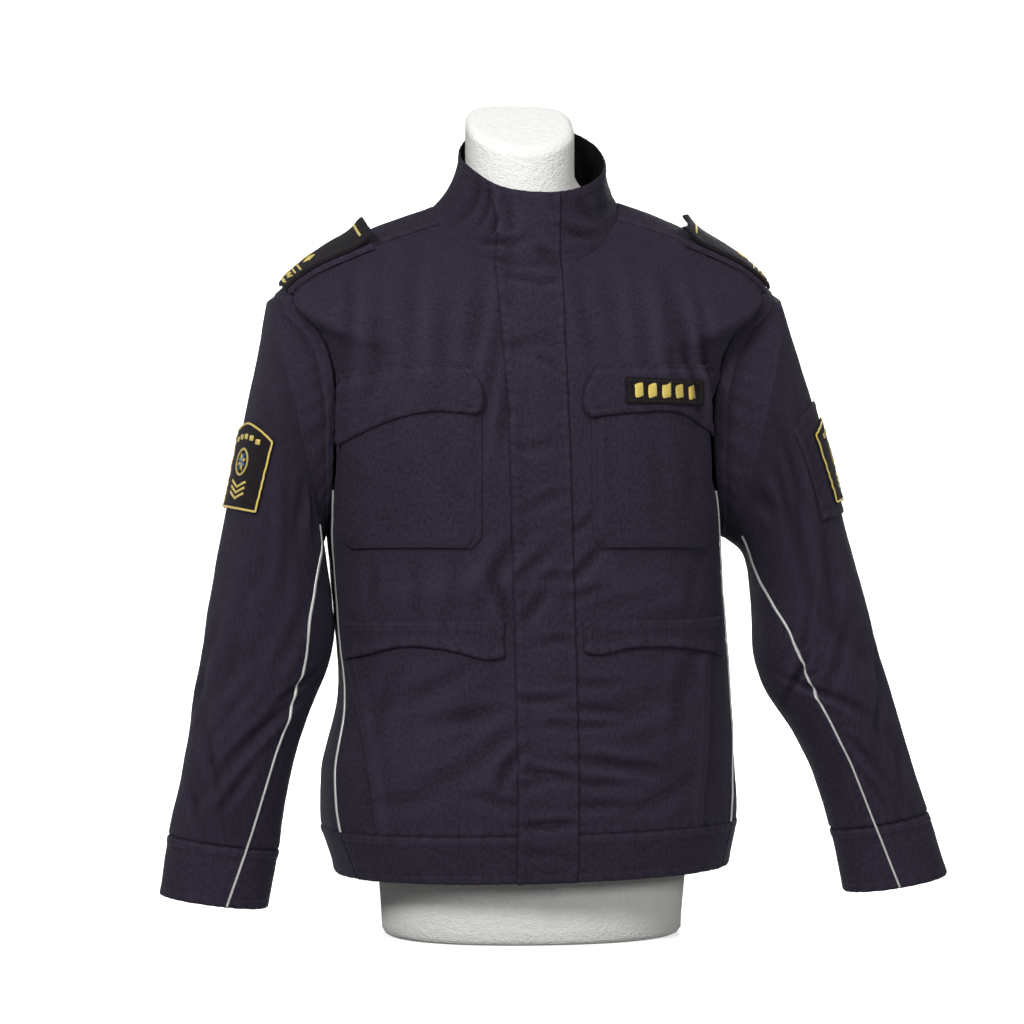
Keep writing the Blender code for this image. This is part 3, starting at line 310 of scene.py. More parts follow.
# The collar's creases: degrees round it, part of its height, reach, lean and depth.
COLLAR_CREASES = table(
    "degrees part half_length half_width lean depth",
    [
        (-34, 0.45, 0.024, 0.0050, 14, -0.0030),
        (-27, 0.22, 0.018, 0.0040, 70, -0.0036),
        (-46, 0.60, 0.026, 0.0060, 6, -0.0020),
        (-62, 0.45, 0.030, 0.0070, 10, -0.0022),
        (-24, 0.60, 0.020, 0.0050, -8, -0.0024),
        (30, 0.30, 0.026, 0.0045, -58, -0.0028),
        (40, 0.55, 0.028, 0.0060, -40, -0.0022),
        (56, 0.45, 0.030, 0.0070, -12, -0.0020),
        (70, 0.30, 0.024, 0.0060, -60, -0.0018),
        (120, 0.45, 0.030, 0.0080, 8, -0.0016),
        (165, 0.50, 0.030, 0.0080, 4, -0.0014),
        (215, 0.45, 0.030, 0.0080, -6, -0.0016),
        (250, 0.50, 0.028, 0.0070, -10, -0.0018),
    ],
)

SLEEVE_FOLD_NAMES = "ring degrees half_length half_width lean depth"
# Broad sleeve folds that the solids have too; half length in rings, lean in metres a ring.
SLEEVE_SOFT_FOLDS = table(
    SLEEVE_FOLD_NAMES,
    [
        (3.2, 95, 1.8, 0.016, 0.004, -0.007),
        (3.0, 55, 1.6, 0.018, -0.004, -0.004),
        (5.2, 75, 1.4, 0.014, 0.010, -0.005),
        (6.6, 60, 0.8, 0.020, -0.030, -0.006),
        (7.6, 35, 0.9, 0.016, 0.032, -0.005),
        (8.9, 50, 0.7, 0.018, -0.020, -0.004),
        (3.4, -80, 1.8, 0.018, 0.004, -0.006),
        (6.0, -60, 1.2, 0.020, -0.020, -0.006),
        (7.8, -95, 1.0, 0.018, 0.020, -0.005),
    ],
)
SLEEVE_CREASES = {
    RIGHT: table(
        SLEEVE_FOLD_NAMES,
        [
            (1.9, 120, 0.8, 0.006, 0.006, -0.0040),
            (2.4, 104, 1.1, 0.006, -0.004, -0.0034),
            (2.6, 78, 1.3, 0.008, 0.003, -0.0022),
            (3.4, 66, 1.5, 0.009, -0.002, -0.0018),
            (4.6, 92, 1.2, 0.008, 0.004, -0.0026),
            (5.4, 60, 1.0, 0.008, -0.006, -0.0018),
            (5.8, 108, 0.8, 0.007, -0.010, -0.0028),
            (6.6, 128, 0.5, 0.006, -0.040, -0.0028),
            (7.8, 97, 0.9, 0.009, -0.040, -0.0048),
            (7.2, 70, 0.7, 0.008, -0.030, -0.0026),
            (8.4, 58, 0.5, 0.007, 0.030, -0.0024),
            (8.9, 88, 0.5, 0.007, -0.030, -0.0034),
            (9.3, 48, 0.4, 0.007, 0.034, -0.0030),
            (9.5, 84, 0.35, 0.006, 0.020, -0.0024),
            (4.0, 24, 1.4, 0.009, 0.003, -0.0016),
            (6.8, 20, 0.8, 0.008, -0.020, -0.0022),
            (2.8, -60, 1.4, 0.009, 0.003, -0.0026),
            (4.8, -90, 1.2, 0.009, -0.004, -0.0026),
            (6.4, -70, 0.8, 0.008, 0.030, -0.0034),
            (7.4, -100, 0.7, 0.008, -0.030, -0.0034),
            (8.8, -80, 0.6, 0.007, 0.028, -0.0028),
            (9.4, -40, 0.4, 0.007, -0.020, -0.0022),
        ],
    ),
    LEFT: table(
        SLEEVE_FOLD_NAMES,
        [
            (1.9, 122, 0.8, 0.006, -0.006, -0.0044),
            (2.5, 106, 1.1, 0.006, 0.004, -0.0036),
            (2.8, 84, 1.3, 0.008, -0.003, -0.0022),
            (3.6, 62, 1.5, 0.009, 0.003, -0.0018),
            (4.4, 98, 1.2, 0.008, -0.004, -0.0026),
            (5.4, 70, 1.0, 0.008, 0.006, -0.0020),
            (6.0, 112, 0.7, 0.006, 0.020, -0.0030),
            (6.8, 132, 0.45, 0.006, 0.050, -0.0046),
            (7.1, 118, 0.45, 0.006, -0.050, -0.0040),
            (6.7, 84, 0.6, 0.008, 0.040, -0.0030),
            (7.6, 92, 0.6, 0.008, -0.036, -0.0030),
            (8.2, 64, 0.6, 0.008, 0.030, -0.0026),
            (8.9, 92, 0.5, 0.007, -0.030, -0.0030),
            (9.3, 58, 0.4, 0.007, 0.030, -0.0028),
            (9.5, 96, 0.35, 0.006, -0.020, -0.0024),
            (4.2, 26, 1.4, 0.009, -0.003, -0.0016),
            (6.9, 24, 0.7, 0.008, 0.030, -0.0026),
            (2.8, -62, 1.4, 0.009, -0.003, -0.0026),
            (4.8, -92, 1.2, 0.009, 0.004, -0.0026),
            (6.6, -72, 0.8, 0.008, -0.030, -0.0036),
            (7.5, -98, 0.7, 0.008, 0.030, -0.0034),
            (8.8, -78, 0.6, 0.007, -0.028, -0.0028),
            (9.4, -44, 0.4, 0.007, 0.020, -0.0022),
        ],
    ),
}

# What lies on the fronts, the sleeves and the shoulders, at the solids' places.
CLOTH = 0.002
HALF = CLOTH / 2
LAID_GAP = 0.0010
PATCH = 0.002
PLACKET_LIFT = 0.0010
PLACKET_ON_COLLAR = 0.12
# How far the fly's free edge turns away up the collar, in radians.
PLACKET_FLARE = 0.29
FLY_EDGE_RISE = 0.0014
HEM_PROUD = 0.0004
PIPING_WIDTH = 0.0030
PIPING_HEIGHT = 0.0013
# How far round it a place is compared with to tell hollows from ridges, and the depths of a crease and of a
# seam that count in full, for the painted shade in hollows and the painted highlight on ridges.
HOLLOW_REACH = 0.012
HOLLOW_DEPTH = 0.0028
SEAM_DEPTH = 0.0009
POCKET_OUTER_X = {RIGHT: 0.190, LEFT: 0.184}
POCKET_INNER_X = {RIGHT: 0.056, LEFT: 0.054}
FLAP_INNER_X = {RIGHT: 0.055, LEFT: 0.046}
POCKET_BOTTOM, POCKET_TOP = 0.403, 0.562
POCKET_THICK = 0.003
FLAP_TOP = 0.588
FLAP_ON_POCKET = LAID_GAP + POCKET_THICK + 1.4 * LAID_GAP
FLAP_EDGES = {
    RIGHT: table("part top bottom", [
        (0, 0, 0.537), (0.35, 0, 0.540), (0.7, -0.003, 0.528), (1, -0.010, 0.508),
    ]),
    LEFT: table("part top bottom", [
        (0, 0, 0.535), (0.35, 0, 0.540), (0.7, 0.001, 0.540), (1, 0.002, 0.518),
    ]),
}
FLAP_SLANT = table("down inset", [(0, 0.017), (0.35, 0.005), (0.7, 0.0), (0.9, 0.002), (1, 0.007)])
LOWER_FLAPS = {
    RIGHT: table("part x top bottom", [
        (0, 0.0350, 0.331, 0.296), (0.06, 0.0435, 0.331, 0.2935), (0.35, 0.090, 0.330, 0.303),
        (0.6, 0.130, 0.329, 0.306), (0.85, 0.167, 0.328, 0.296), (1, 0.1838, 0.327, 0.291),
    ]),
    LEFT: table("part x top bottom", [
        (0, 0.0460, 0.330, 0.301), (0.06, 0.0530, 0.330, 0.2985), (0.35, 0.095, 0.330, 0.304),
        (0.6, 0.135, 0.330, 0.304), (0.85, 0.178, 0.331, 0.298), (1, 0.198, 0.332, 0.293),
    ]),
}
TAPE_X = (0.088, 0.168)
TAPE_Z = (0.549, 0.5745)
TAPE_THICK = 0.0012
# Each badge's middle and half width in degrees round the sleeve, its foot's and its top's height
# square to the sleeve, which leans out, and how far its corners lie below its top.
SLEEVE_LEAN = {RIGHT: 0.20, LEFT: 0.26}
BADGE_PLACES = {RIGHT: (28, 35, 0.383, 0.475, 0.016), LEFT: (16, 35, 0.365, 0.457, 0.014)}
BACKING_PLACE = (24, 50, 0.352, 0.4765, 0.0245)
BADGE_ROUNDNESS = 1.6
BADGE_NARROWING = 0.16
# The sleeve's radius where the badges lie.
BADGE_RADIUS = 0.082
BADGE_LIFT = 0.0012
BACKING_THICK = 0.0012
BADGE_THICK = 0.0015
STRAP_DEPTH = (-0.020, 0.053)
SLIDE_DEPTH = (-0.015, 0.046)
STRAP_LEVELS = (YOKE_LEVEL + 0.0005, 0.712)
SLIDE_LEVELS = (YOKE_LEVEL + 0.0005, 0.714)
SLIDE_RISE = 0.008
SLIDE_RISE_LEVELS = (0.700, 0.714)
STRAP_THICK = 0.0025
SLIDE_THICK = 0.0030

# The slanted seams of the hand pockets: x and z from their top to the hem seam.
HAND_POCKETS = {
    RIGHT: table("z x", [(0.118, -0.158), (0.185, -0.166), (0.236, -0.174), (0.292, -0.186)]),
    LEFT: table("z x", [(0.118, 0.170), (0.185, 0.177), (0.236, 0.180), (0.292, 0.181)]),
}

HAND_POCKET_RISE = 0.0022
# Sewing draws the cloth in along a seam: the puckers' length and height, and how far they reach.
PUCKER_LENGTH, PUCKER_RISE, PUCKER_REACH = 0.013, 0.00030, 0.009
# How much the puckers' spacing wanders, and how slowly.
PUCKER_SWAY, PUCKER_DRIFT = 2.2, 0.23
# A seam's dip and its width, and how far its doubled allowance rises and where that ends.
SEAM_DIP, SEAM_WIDTH = 0.0011, 0.0014
ALLOWANCE_RISE, ALLOWANCE_END = 0.0006, (0.0065, 0.0085)
# The same for a free edge, which is turned in and sewn down.
EDGE_DIP, EDGE_WIDTH = 0.0004, 0.0010
FOLD_RISE, FOLD_END = 0.0003, (0.006, 0.009)
# How far inwards one level reaches along a rank slide.
SLIDE_METRES_A_LEVEL = 1.75
# The flat band that is turned over and sewn down along the armhole.
BAND_WIDTH, BAND_RISE = 0.0135, 0.0014
# How far below its seam the collar's wall goes on, as a part of its height.
COLLAR_UNDER = 0.055
# How much of their depth the sleeve's creases lose under the stiff badges, and how far round.
BADGE_STIFFNESS, BADGE_STIFF_TURN, BADGE_STIFF_RINGS, BADGE_STIFF_MIDDLE = 0.8, 0.85, 1.3, 3.8

# The dress form's neck above the shoulders.
NECK_RADIUS = 0.057
NECK_BACK = 0.040
NECK_SQUARE = 3.4
NECK_TOP_Z = 0.8495
NECK_TOP_SLOPE = 0.62
NECK_EDGE = 0.009

# The camera, as the photograph was taken.
CAMERA_TURN = np.radians(6.5)
CAMERA_DISTANCE = 3.2
CAMERA_HEIGHT = 0.440
CAMERA_ASIDE = 0.0084
CAMERA_LENS = 107.12


def smooth(rows, across, column, at):
    """The smooth curve through a table's column: cubic pieces whose slopes are the mean slopes."""
    knots, values = rows[across], rows[column]
    slopes = np.gradient(values, knots)
    low = np.clip(np.searchsorted(knots, at, side="right") - 1, 0, len(knots) - 2)
    span = knots[low + 1] - knots[low]
    part = (at - knots[low]) / span
    rise = values[low + 1] - values[low]
    first, last = slopes[low] * span, slopes[low + 1] * span
    bend = part * (1 - part) * ((first - rise) * (1 - part) + (rise - last) * part)
    return values[low] + rise * part + bend


def step(low, high, value):
    """0 below low, 1 above high, and a soft rise between them."""
    part = np.clip((value - low) / (high - low), 0, 1)
    return part * part * (3 - 2 * part)


def unit(vectors):
    """The vectors with length 1."""
    return vectors / np.maximum(np.linalg.norm(vectors, axis=-1, keepdims=True), 1e-12)


def other_share(share, power):
    """On a squared oval, how far it reaches one way where it reaches `share` the other."""
    return (1 - np.abs(share) ** power) ** (1 / power)


def ring_sizes(level):
    """Every column of the torso's table at this level."""
    return {name: smooth(TORSO, "level", name, level) for name in TORSO}


def plain_torso(angle, level):
    """A squared oval in polar form for each level, which sinks from its sides to its middles."""
    size = ring_sizes(level)
    sideways, forward = np.sin(angle), np.cos(angle)
    power = size["square"]
    reach = (np.abs(sideways) ** power + np.abs(forward) ** power) ** (-1 / power)
    in_front = forward > 0
    share = np.abs(forward) * reach
    depth = np.where(in_front, size["front"], -size["back"]) * share
    middle_z = np.where(in_front, size["z_front"], size["z_back"])
    x = size["shift"] + size["half_width"] * sideways * reach
    z = size["z_side"] + (middle_z - size["z_side"]) * share ** size["fall"] + size["lean"] * x
    return np.stack([x, -depth, z], axis=-1)


def normals_of(surface, first, second, step_first, step_second):
    """Unit normals of a surface of two parameters: the cross product of its two slopes."""
    along_first = surface(first + step_first, second) - surface(first - step_first, second)
    along_second = surface(first, second + step_second) - surface(first, second - step_second)
    return unit(np.cross(along_first, along_second))


def torso_normal(angle, level):
    """The way out of the torso's surface."""
    return normals_of(plain_torso, angle, level, 0.02, 0.003)


def folds(rows, right, up):
    """Sum of soft folds: each falls off as a bell across and along it."""
    total = np.zeros(np.shape(right))
    for x, z, half_length, half_width, lean, depth in zip(*rows.values()):
        turn = np.radians(lean)
        across = (right - x) * np.cos(turn) - (up - z) * np.sin(turn)
        along = (right - x) * np.sin(turn) + (up - z) * np.cos(turn)
        total += depth * np.exp(-((across / half_width) ** 2) - (along / half_length) ** 2)
    return total


def crease(across, along):
    """A trough of unit depth across 0, with a low ridge on each side, that fades along it."""
    trough = np.exp(-(across**2)) - 0.30 * np.exp(-(((np.abs(across) - 1.9) / 0.8) ** 2))
    return trough * np.exp(-(along**2))


def creases(rows, right, up):
    """Sum of the table's creases, each bent a little so that it isn't straight."""
    total = np.zeros(np.shape(right))
    for number, (x, z, half_length, half_width, lean, depth) in enumerate(zip(*rows.values())):
        turn = np.radians(lean)
        across = (right - x) * np.cos(turn) - (up - z) * np.sin(turn)
        along = (right - x) * np.sin(turn) + (up - z) * np.cos(turn)
        across = across + (-1) ** number * 0.25 * half_width * (along / half_length) ** 2
        total += depth * crease(across / half_width, along / half_length)
    return total


def waves(points, size, count=9):
    """Uneven low waves between -1 and 1: a mean of sines in directions a golden angle apart."""
    total = np.zeros(points.shape[:-1])
    for number in range(count):
        turn, height = 2.39996 * number, (number + 0.5) / count * 2 - 1
        flat = np.sqrt(1 - height**2)
        way = np.array([np.cos(turn) * flat, np.sin(turn) * flat, height])
        length = size * (0.7 + 0.6 * number / count)
        total += np.sin(points @ way * 2 * np.pi / length + 1.7 * number)
    return total / count


def options():
    """The sizes and colours in the sidebar."""
    return bpy.context.scene.jacket_sizes, bpy.context.scene.jacket_colors


def hand_pocket_ridge(x, z):
    """A step where the hand pocket's edge lies over the front: up at the seam, and out again."""
    total = np.zeros(np.shape(x))
    for _, side in SIDES:
        seam = smooth(HAND_POCKETS[side], "z", "x", np.clip(z, 0.118, 0.292))
        inside = (seam - x) * side
        ridge = step(-0.0006, 0.0008, inside) * (1 - step(0.008, 0.016, inside))
        total += HAND_POCKET_RISE * ridge * step(0.110, 0.120, z) * (1 - step(0.288, 0.300, z))
    return total


def torso_relief(points):
    """How far the torso's cloth stands out of its plain surface."""
    sizes, _ = options()
    x, y, z = points[..., 0], points[..., 1], points[..., 2]
    front = np.clip((-y - FOLD_FADE) / FOLD_FADE, 0, 1)
    back = np.clip((y - FOLD_FADE) / FOLD_FADE, 0, 1)
    total = folds(SOFT_FOLDS, x, z) * front
    total += creases(FRONT_CREASES, x, z) * front * sizes.crease_depth
    total += creases(BACK_CREASES, x, z) * back * sizes.crease_depth
    total += hand_pocket_ridge(x, z) * front
    total += waves(points, 0.075) * 0.0012 + waves(points, 0.028) * 0.0004
    return total


def torso(angle, level, extra=0.0):
    """Points and normals of the torso's cloth, moved out by its creases and by `extra`."""
    plain, normal = plain_torso(angle, level), torso_normal(angle, level)
    return plain + normal * (torso_relief(plain) + extra)[..., None], normal


def angle_at_depth(depth, level, side):
    """The angle round the torso where it lies this far before its side, or behind it."""
    size = ring_sizes(level)
    share = depth / np.where(depth > 0, size["front"], size["back"])
    return side * np.arctan2(other_share(share, size["square"]), share)


def angle_at_x(x, level):
    """The angle round the front of the torso at this distance to the side."""
    size = ring_sizes(level)
    share = np.clip((x - size["shift"]) / size["half_width"], -0.999, 0.999)
    return np.arctan2(share, other_share(share, size["square"]))


def place_on_front(x, z):
    """The angle and level of the front's point at this x and height, by repeated correction."""
    level = np.array(z, float)
    for _ in range(25):
        angle = angle_at_x(x, level)
        level = level + (z - plain_torso(angle, level)[..., 2]) * 0.8
    return angle, level


def collar_surface(angle, part):
    """The collar from its neck seam (0) to its top edge (1), which narrows fast at first."""
    base = plain_torso(angle, np.full(np.shape(angle), NECK_LEVEL)) + np.array([0, 0, COLLAR_SEAT])
    depth = np.where(np.cos(angle) > 0, COLLAR_FRONT, COLLAR_BACK) * np.cos(angle)
    top_z = COLLAR_Z_FRONT + (COLLAR_Z_BACK - COLLAR_Z_FRONT) * (1 - np.cos(angle)) / 2
    away = (angle - COLLAR_DRAW_ANGLE + np.pi) % (2 * np.pi) - np.pi
    drawn = COLLAR_DRAW * np.exp(-((away / COLLAR_DRAW_REACH) ** 2))
    top = np.stack([COLLAR_SHIFT + COLLAR_HALF_WIDTH * np.sin(angle) + drawn, -depth, top_z], axis=-1)
    narrowing = (1 - np.maximum(1 - part, 0) ** COLLAR_NARROWING)[..., None]
    rising = part[..., None] * np.array([0, 0, 1.0])
    return base + (top - base) * (narrowing * np.array([1.0, 1.0, 0]) + rising)


def collar(angle, part, extra=0.0):
    """Points and normals of the collar's cloth with its creases."""
    sizes, _ = options()
    plain = collar_surface(angle, part)
    normal = normals_of(collar_surface, angle, part, 0.02, 0.02)
    total = np.zeros(np.shape(angle))
    for degrees, place, half_length, half_width, lean, depth in zip(*COLLAR_CREASES.values()):
        away = (angle - np.radians(degrees) + np.pi) % (2 * np.pi) - np.pi
        right, up = away * 0.080, (part - place) * 0.078
        turn = np.radians(lean)
        across = (right * np.cos(turn) - up * np.sin(turn)) / half_width
        along = (right * np.sin(turn) + up * np.cos(turn)) / half_length
        total += depth * crease(across, along) * sizes.crease_depth
    total += waves(plain, 0.045) * 0.0010 * np.maximum(part, 0)
    return plain + normal * (total + extra)[..., None], normal


def armhole_place(side, turn):
    """The angle and level of the armhole's edge at this turn round it (0 at the top)."""
    turn = (turn + np.pi) % (2 * np.pi) - np.pi
    along = np.clip((np.abs(turn) - ARMHOLE_TOP) / (np.pi - ARMHOLE_TOP), 0, 1)
    level = smooth(ARMHOLE, "along", "level", along)
    edge = smooth(ARMHOLE, "along", "depth", along) * np.sign(turn)
    top_depth = ARMHOLE["depth"][0] * turn / ARMHOLE_TOP
    depth = np.where(np.abs(turn) < ARMHOLE_TOP, top_depth, edge)
    return angle_at_depth(depth, level, side), level


def armhole(side, turn):
    """Where the sleeve begins: the armhole's edge, drawn just into the hole."""
    angle, level = armhole_place(side, turn)
    edge, outward = plain_torso(angle, level), torso_normal(angle, level)
    before, after = armhole_place(side, turn - 0.04), armhole_place(side, turn + 0.04)
    inward = unit(np.cross(outward, plain_torso(*after) - plain_torso(*before)) * side)
    lowness = ((1 - np.cos(turn)) / 2)[..., None]
    past_top = np.clip((np.abs(turn) - ARMHOLE_TOP) / ARMHOLE_TOP, 0, 1)[..., None]
    drawn = ARMHOLE_DRAW + ARMHOLE_DRAW_SIDES * past_top + ARMHOLE_DRAW_FOOT * lowness
    return edge + inward * drawn + outward * ARMHOLE_OUT * lowness


def sleeve_ring(side, ring, turn):
    """A slanted oval through a ring's outer and inner points."""
    size = {name: smooth(SLEEVES[side], "ring", name, ring) for name in SLEEVES[side]}
    half_x = (size["outer_x"] - size["inner_x"]) / 2
    half_z = (size["outer_z"] - size["inner_z"]) / 2
    x = (size["outer_x"] + size["inner_x"]) / 2 + half_x * np.cos(turn)
    z = (size["outer_z"] + size["inner_z"]) / 2 + half_z * np.cos(turn)
    return np.stack([side * x, -(size["ahead"] + size["depth"] * np.sin(turn)), z], axis=-1)


def plain_sleeve(side, ring, turn):
    """The sleeve's smooth surface: from the armhole's edge to ring 1, then through the rings."""
    tube = sleeve_ring(side, np.maximum(ring, 1.0), turn)
    part = np.clip(ring, 0, 1)[..., None]
    return np.where(part < 1, armhole(side, turn) * (1 - part) + tube * part, tube)


def around(turn):
    """The turn brought between half a turn back and half a turn on."""
    return (turn + np.pi) % (2 * np.pi) - np.pi


def sleeve_relief(side, ring, turn, points):
    """How far the sleeve's cloth stands out: broad folds, creases, band puckers and waves."""
    sizes, _ = options()
    total = np.zeros(np.shape(ring))
    for row, degrees, half_length, half_width, lean, depth in zip(*SLEEVE_SOFT_FOLDS.values()):
        across = around(turn - np.radians(degrees)) * SLEEVE_RADIUS - lean * (ring - row)
        total += depth * np.exp(-((across / half_width) ** 2) - ((ring - row) / half_length) ** 2)
    for row, degrees, half_length, half_width, lean, depth in zip(*SLEEVE_CREASES[side].values()):
        across = around(turn - np.radians(degrees)) * SLEEVE_RADIUS - lean * (ring - row)
        total += depth * crease(across / half_width, (ring - row) / half_length) * sizes.crease_depth
    total *= np.clip(ring - 1, 0, 1) * np.clip(CUFF_RING + 0.15 - ring, 0, 1)
    beside = around(turn - np.radians(BADGE_PLACES[side][0])) / BADGE_STIFF_TURN
    stiff = BADGE_STIFFNESS * np.exp(-(beside**4) - ((ring - BADGE_STIFF_MIDDLE) / BADGE_STIFF_RINGS) ** 4)
    armpit = step(0.9, 1.6, np.abs(around(turn))) * (1 - step(2.4, 2.9, np.abs(around(turn))))
    pucker = np.sin(turn * 34 + 2 * np.sin(turn * 5)) * armpit * np.sin(np.pi * np.clip(ring, 0, 1))
    total += pucker * 0.0007
    total += waves(points, 0.060) * 0.0010 * np.clip(ring, 0, 1) + waves(points, 0.024) * 0.0003
    return total * (1 - stiff)


def sleeve(side, ring, turn, extra=0.0):
    """Points and normals of a sleeve's cloth, moved out by its creases and by `extra`."""
    plain = plain_sleeve(side, ring, turn)
    normal = normals_of(lambda r, t: plain_sleeve(side, r, t), ring, turn, 0.06, 0.05) * -side
    return plain + normal * (sleeve_relief(side, ring, turn, plain) + extra)[..., None], normal


def front_seam(side, ring):
    """Where the sleeve's front seam with its piping runs, in radians round it."""
    return np.radians(smooth(FRONT_SEAMS[side], "ring", "degrees", np.maximum(ring, 1.0)))


def crowded(count, strength=0.6):
    """Places from 0 to 1, closer together at both ends: the place less a sine of one turn."""
    part = np.linspace(0, 1, count)
    return part - strength * np.sin(2 * np.pi * part) / (2 * np.pi)


def spread(start, end, parts):
    """Rows of values from the array `start` to the array `end` at these parts."""
    return start[:, None] * (1 - parts) + end[:, None] * parts


def lengths(points, axis):
    """How far each point of a grid lies along its grid line from the line's start."""
    steps = np.linalg.norm(np.diff(points, axis=axis), axis=-1)
    pad = [(0, 0), (0, 0)]
    pad[axis] = (1, 0)
    return np.cumsum(np.pad(steps, pad), axis=axis)


def edge_distances(points):
    """Each point's distance from the grid's left, right, first and last edge."""
    left, first = lengths(points, 1), lengths(points, 0)
    return left, left[:, -1:] - left, first, first[-1:] - first


class Shape:
    """Points, faces, cloth coordinates and material numbers, gathered for one object."""

    def __init__(self):
        self.points, self.faces, self.places, self.slots = [], [], [], []
        self.heights = []
        self.count = 0

    def add_points(self, points, heights=0.0):
        """Adds a grid's points, with how far each stands out, and returns their numbers in its shape."""
        self.heights.append(np.broadcast_to(heights, points.shape[:-1]).ravel())
        numbers = self.count + np.arange(points[..., 0].size).reshape(points.shape[:-1])
        self.points.append(points.reshape(-1, 3))
        self.count += numbers.size
        return numbers

    def quads(self, numbers, places, slot=0):
        """A face for each four neighbours of a grid of numbers."""
        for source, kept in ((numbers, self.faces), (places, self.places)):
            corners = [source[:-1, :-1], source[:-1, 1:], source[1:, 1:], source[1:, :-1]]
            stacked = np.stack(corners, axis=2)
            kept.append(stacked.reshape(-1, 4, *stacked.shape[3:]))
        self.slots.append(np.full(len(self.faces[-1]), slot))

    def shell(self, outer, inner, places, slots=(0, 0), closed=False, rim=0.5, heights=0.0):
        """Two skins and a round rim, whose middle is pushed out along the cloth."""
        first, second = self.add_points(outer, heights), self.add_points(inner)
        push = np.zeros_like(outer)
        push[-1] += unit(outer[-1] - outer[-2])
        push[0] += unit(outer[0] - outer[1])
        if not closed:
            push[:, -1] += unit(outer[:, -1] - outer[:, -2])
            push[:, 0] += unit(outer[:, 0] - outer[:, 1])
        thick = np.linalg.norm(outer - inner, axis=-1, keepdims=True)
        middle = (outer + inner) / 2 + unit(push) * thick * rim
        flat = middle.reshape(-1, 3)
        own = np.arange(first.size).reshape(first.shape)
        if closed:
            own, first, second = (np.concatenate([a, a[:, :1]], axis=1) for a in (own, first, second))
            loops = [own[-1], own[0, ::-1]]
        else:
            loops = [np.concatenate([own[-1, :-1], own[:0:-1, -1], own[0, :0:-1], own[:, 0]])]
        self.quads(first, places, slots[0])
        self.quads(second[:, ::-1], places[:, ::-1], slots[1])
        edge_places = places[:, : own.shape[1]].reshape(-1, 2)
        for loop in loops:
            loop_points = flat[loop[:-1]]
            ring = self.add_points(loop_points)
            ring = np.append(ring, ring[0])
            start = self.count
            base = first[:, :1].ravel()[0]
            shift = second[0, 0] - base
            rim_numbers = np.stack([base + loop, ring, base + shift + loop])
            where = np.broadcast_to(edge_places[loop % len(edge_places)], (3, len(loop), 2))
            self.quads(rim_numbers, where, slots[0])
            assert start == self.count
        return self

    def object(self, name, materials, sharp=50):
        """The finished object: one mesh, its faces turned outwards, with its cloth coordinates."""
        points = np.concatenate(self.points)
        faces, places = np.concatenate(self.faces), np.concatenate(self.places)
        corners = points[faces]
        split = [(0, 1, 2), (0, 2, 3)]
        volume = sum(
            np.einsum("ij,ij->i", corners[:, a], np.cross(corners[:, b], corners[:, c])).sum()
            for a, b, c in split
        )
        if volume < 0:
            faces, places = faces[:, ::-1], places[:, ::-1]
        mesh = bpy.data.meshes.new(name)
        mesh.vertices.add(len(points))
        mesh.vertices.foreach_set("co", points.astype(np.float32).ravel())
        mesh.loops.add(faces.size)
        mesh.loops.foreach_set("vertex_index", faces.astype(np.int32).ravel())
        mesh.polygons.add(len(faces))
        mesh.polygons.foreach_set("loop_start", np.arange(0, faces.size, 4, dtype=np.int32))
        mesh.polygons.foreach_set("material_index", np.concatenate(self.slots).astype(np.int32))
        mesh.update(calc_edges=True)
        # How far each point stands out, which the twill paints as shade in hollows and highlight on ridges.
        relief = mesh.attributes.new("relief", "FLOAT", "POINT")
        relief.data.foreach_set("value", np.concatenate(self.heights).astype(np.float32))
        layer = mesh.uv_layers.new(name="cloth")
        layer.data.foreach_set("uv", places.astype(np.float32).ravel())
        mesh.validate()
        mesh.shade_smooth()
        mesh.set_sharp_from_angle(angle=np.radians(sharp))
        for material in materials:
            mesh.materials.append(material)
        item = bpy.data.objects.new(name, mesh)
        bpy.context.scene.collection.objects.link(item)
        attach(item, "root")
        return item


def blurred(values, steps, closed, edge):
    """The mean over this many grid steps to each side, first down the grid and then across it."""
    for axis, reach in enumerate(steps):
        reach = min(reach, values.shape[axis] - 1)
        margin = [(0, 0)] * values.ndim
        margin[axis] = (reach, reach)
        if closed and axis == 1:
            padded = np.pad(values, margin, mode="wrap")
        else:
            padded = np.pad(values, margin, mode="reflect", reflect_type=edge)
        count = values.shape[axis]
        shifts = [np.take(padded, range(k, k + count), axis=axis) for k in range(2 * reach + 1)]
        values = sum(shifts) / len(shifts)
    return values


def standing_out(points, normals, relief, closed):
    """How far each point stands out of its blurred surroundings, as a share of the named depths, which the
    twill turns into painted shade in hollows and a painted highlight on ridges.

    The surface is carried on straight past its edges and the seams' own relief is mirrored there,
    so that a seam counts as a hollow and a plain edge doesn't.
    """
    steps = [max(2, int(round(HOLLOW_REACH * (points.shape[axis] - 1) / lengths(points, axis).max())))
             for axis in (0, 1)] if not closed else [3, 3]
    out = ((points - blurred(points, steps, closed, "odd")) * normals).sum(axis=-1)
    seams = relief - blurred(relief, steps, closed, "even")
    return np.clip(out / HOLLOW_DEPTH + seams / SEAM_DEPTH, -1, 1)


def cloth_places(points, normals_closed=False):
    """Cloth coordinates in metres: the lengths along the grid's lines both ways."""
    if normals_closed:
        points = np.concatenate([points, points[:, :1]], axis=1)
    return np.stack([lengths(points, 1), lengths(points, 0)], axis=-1)


def declare_sheet(points, closed=False):
    """Closes a closed grid's rows on themselves, and does nothing more with them."""
    if closed:
        points = np.concatenate([points, points[:, :1]], axis=1)


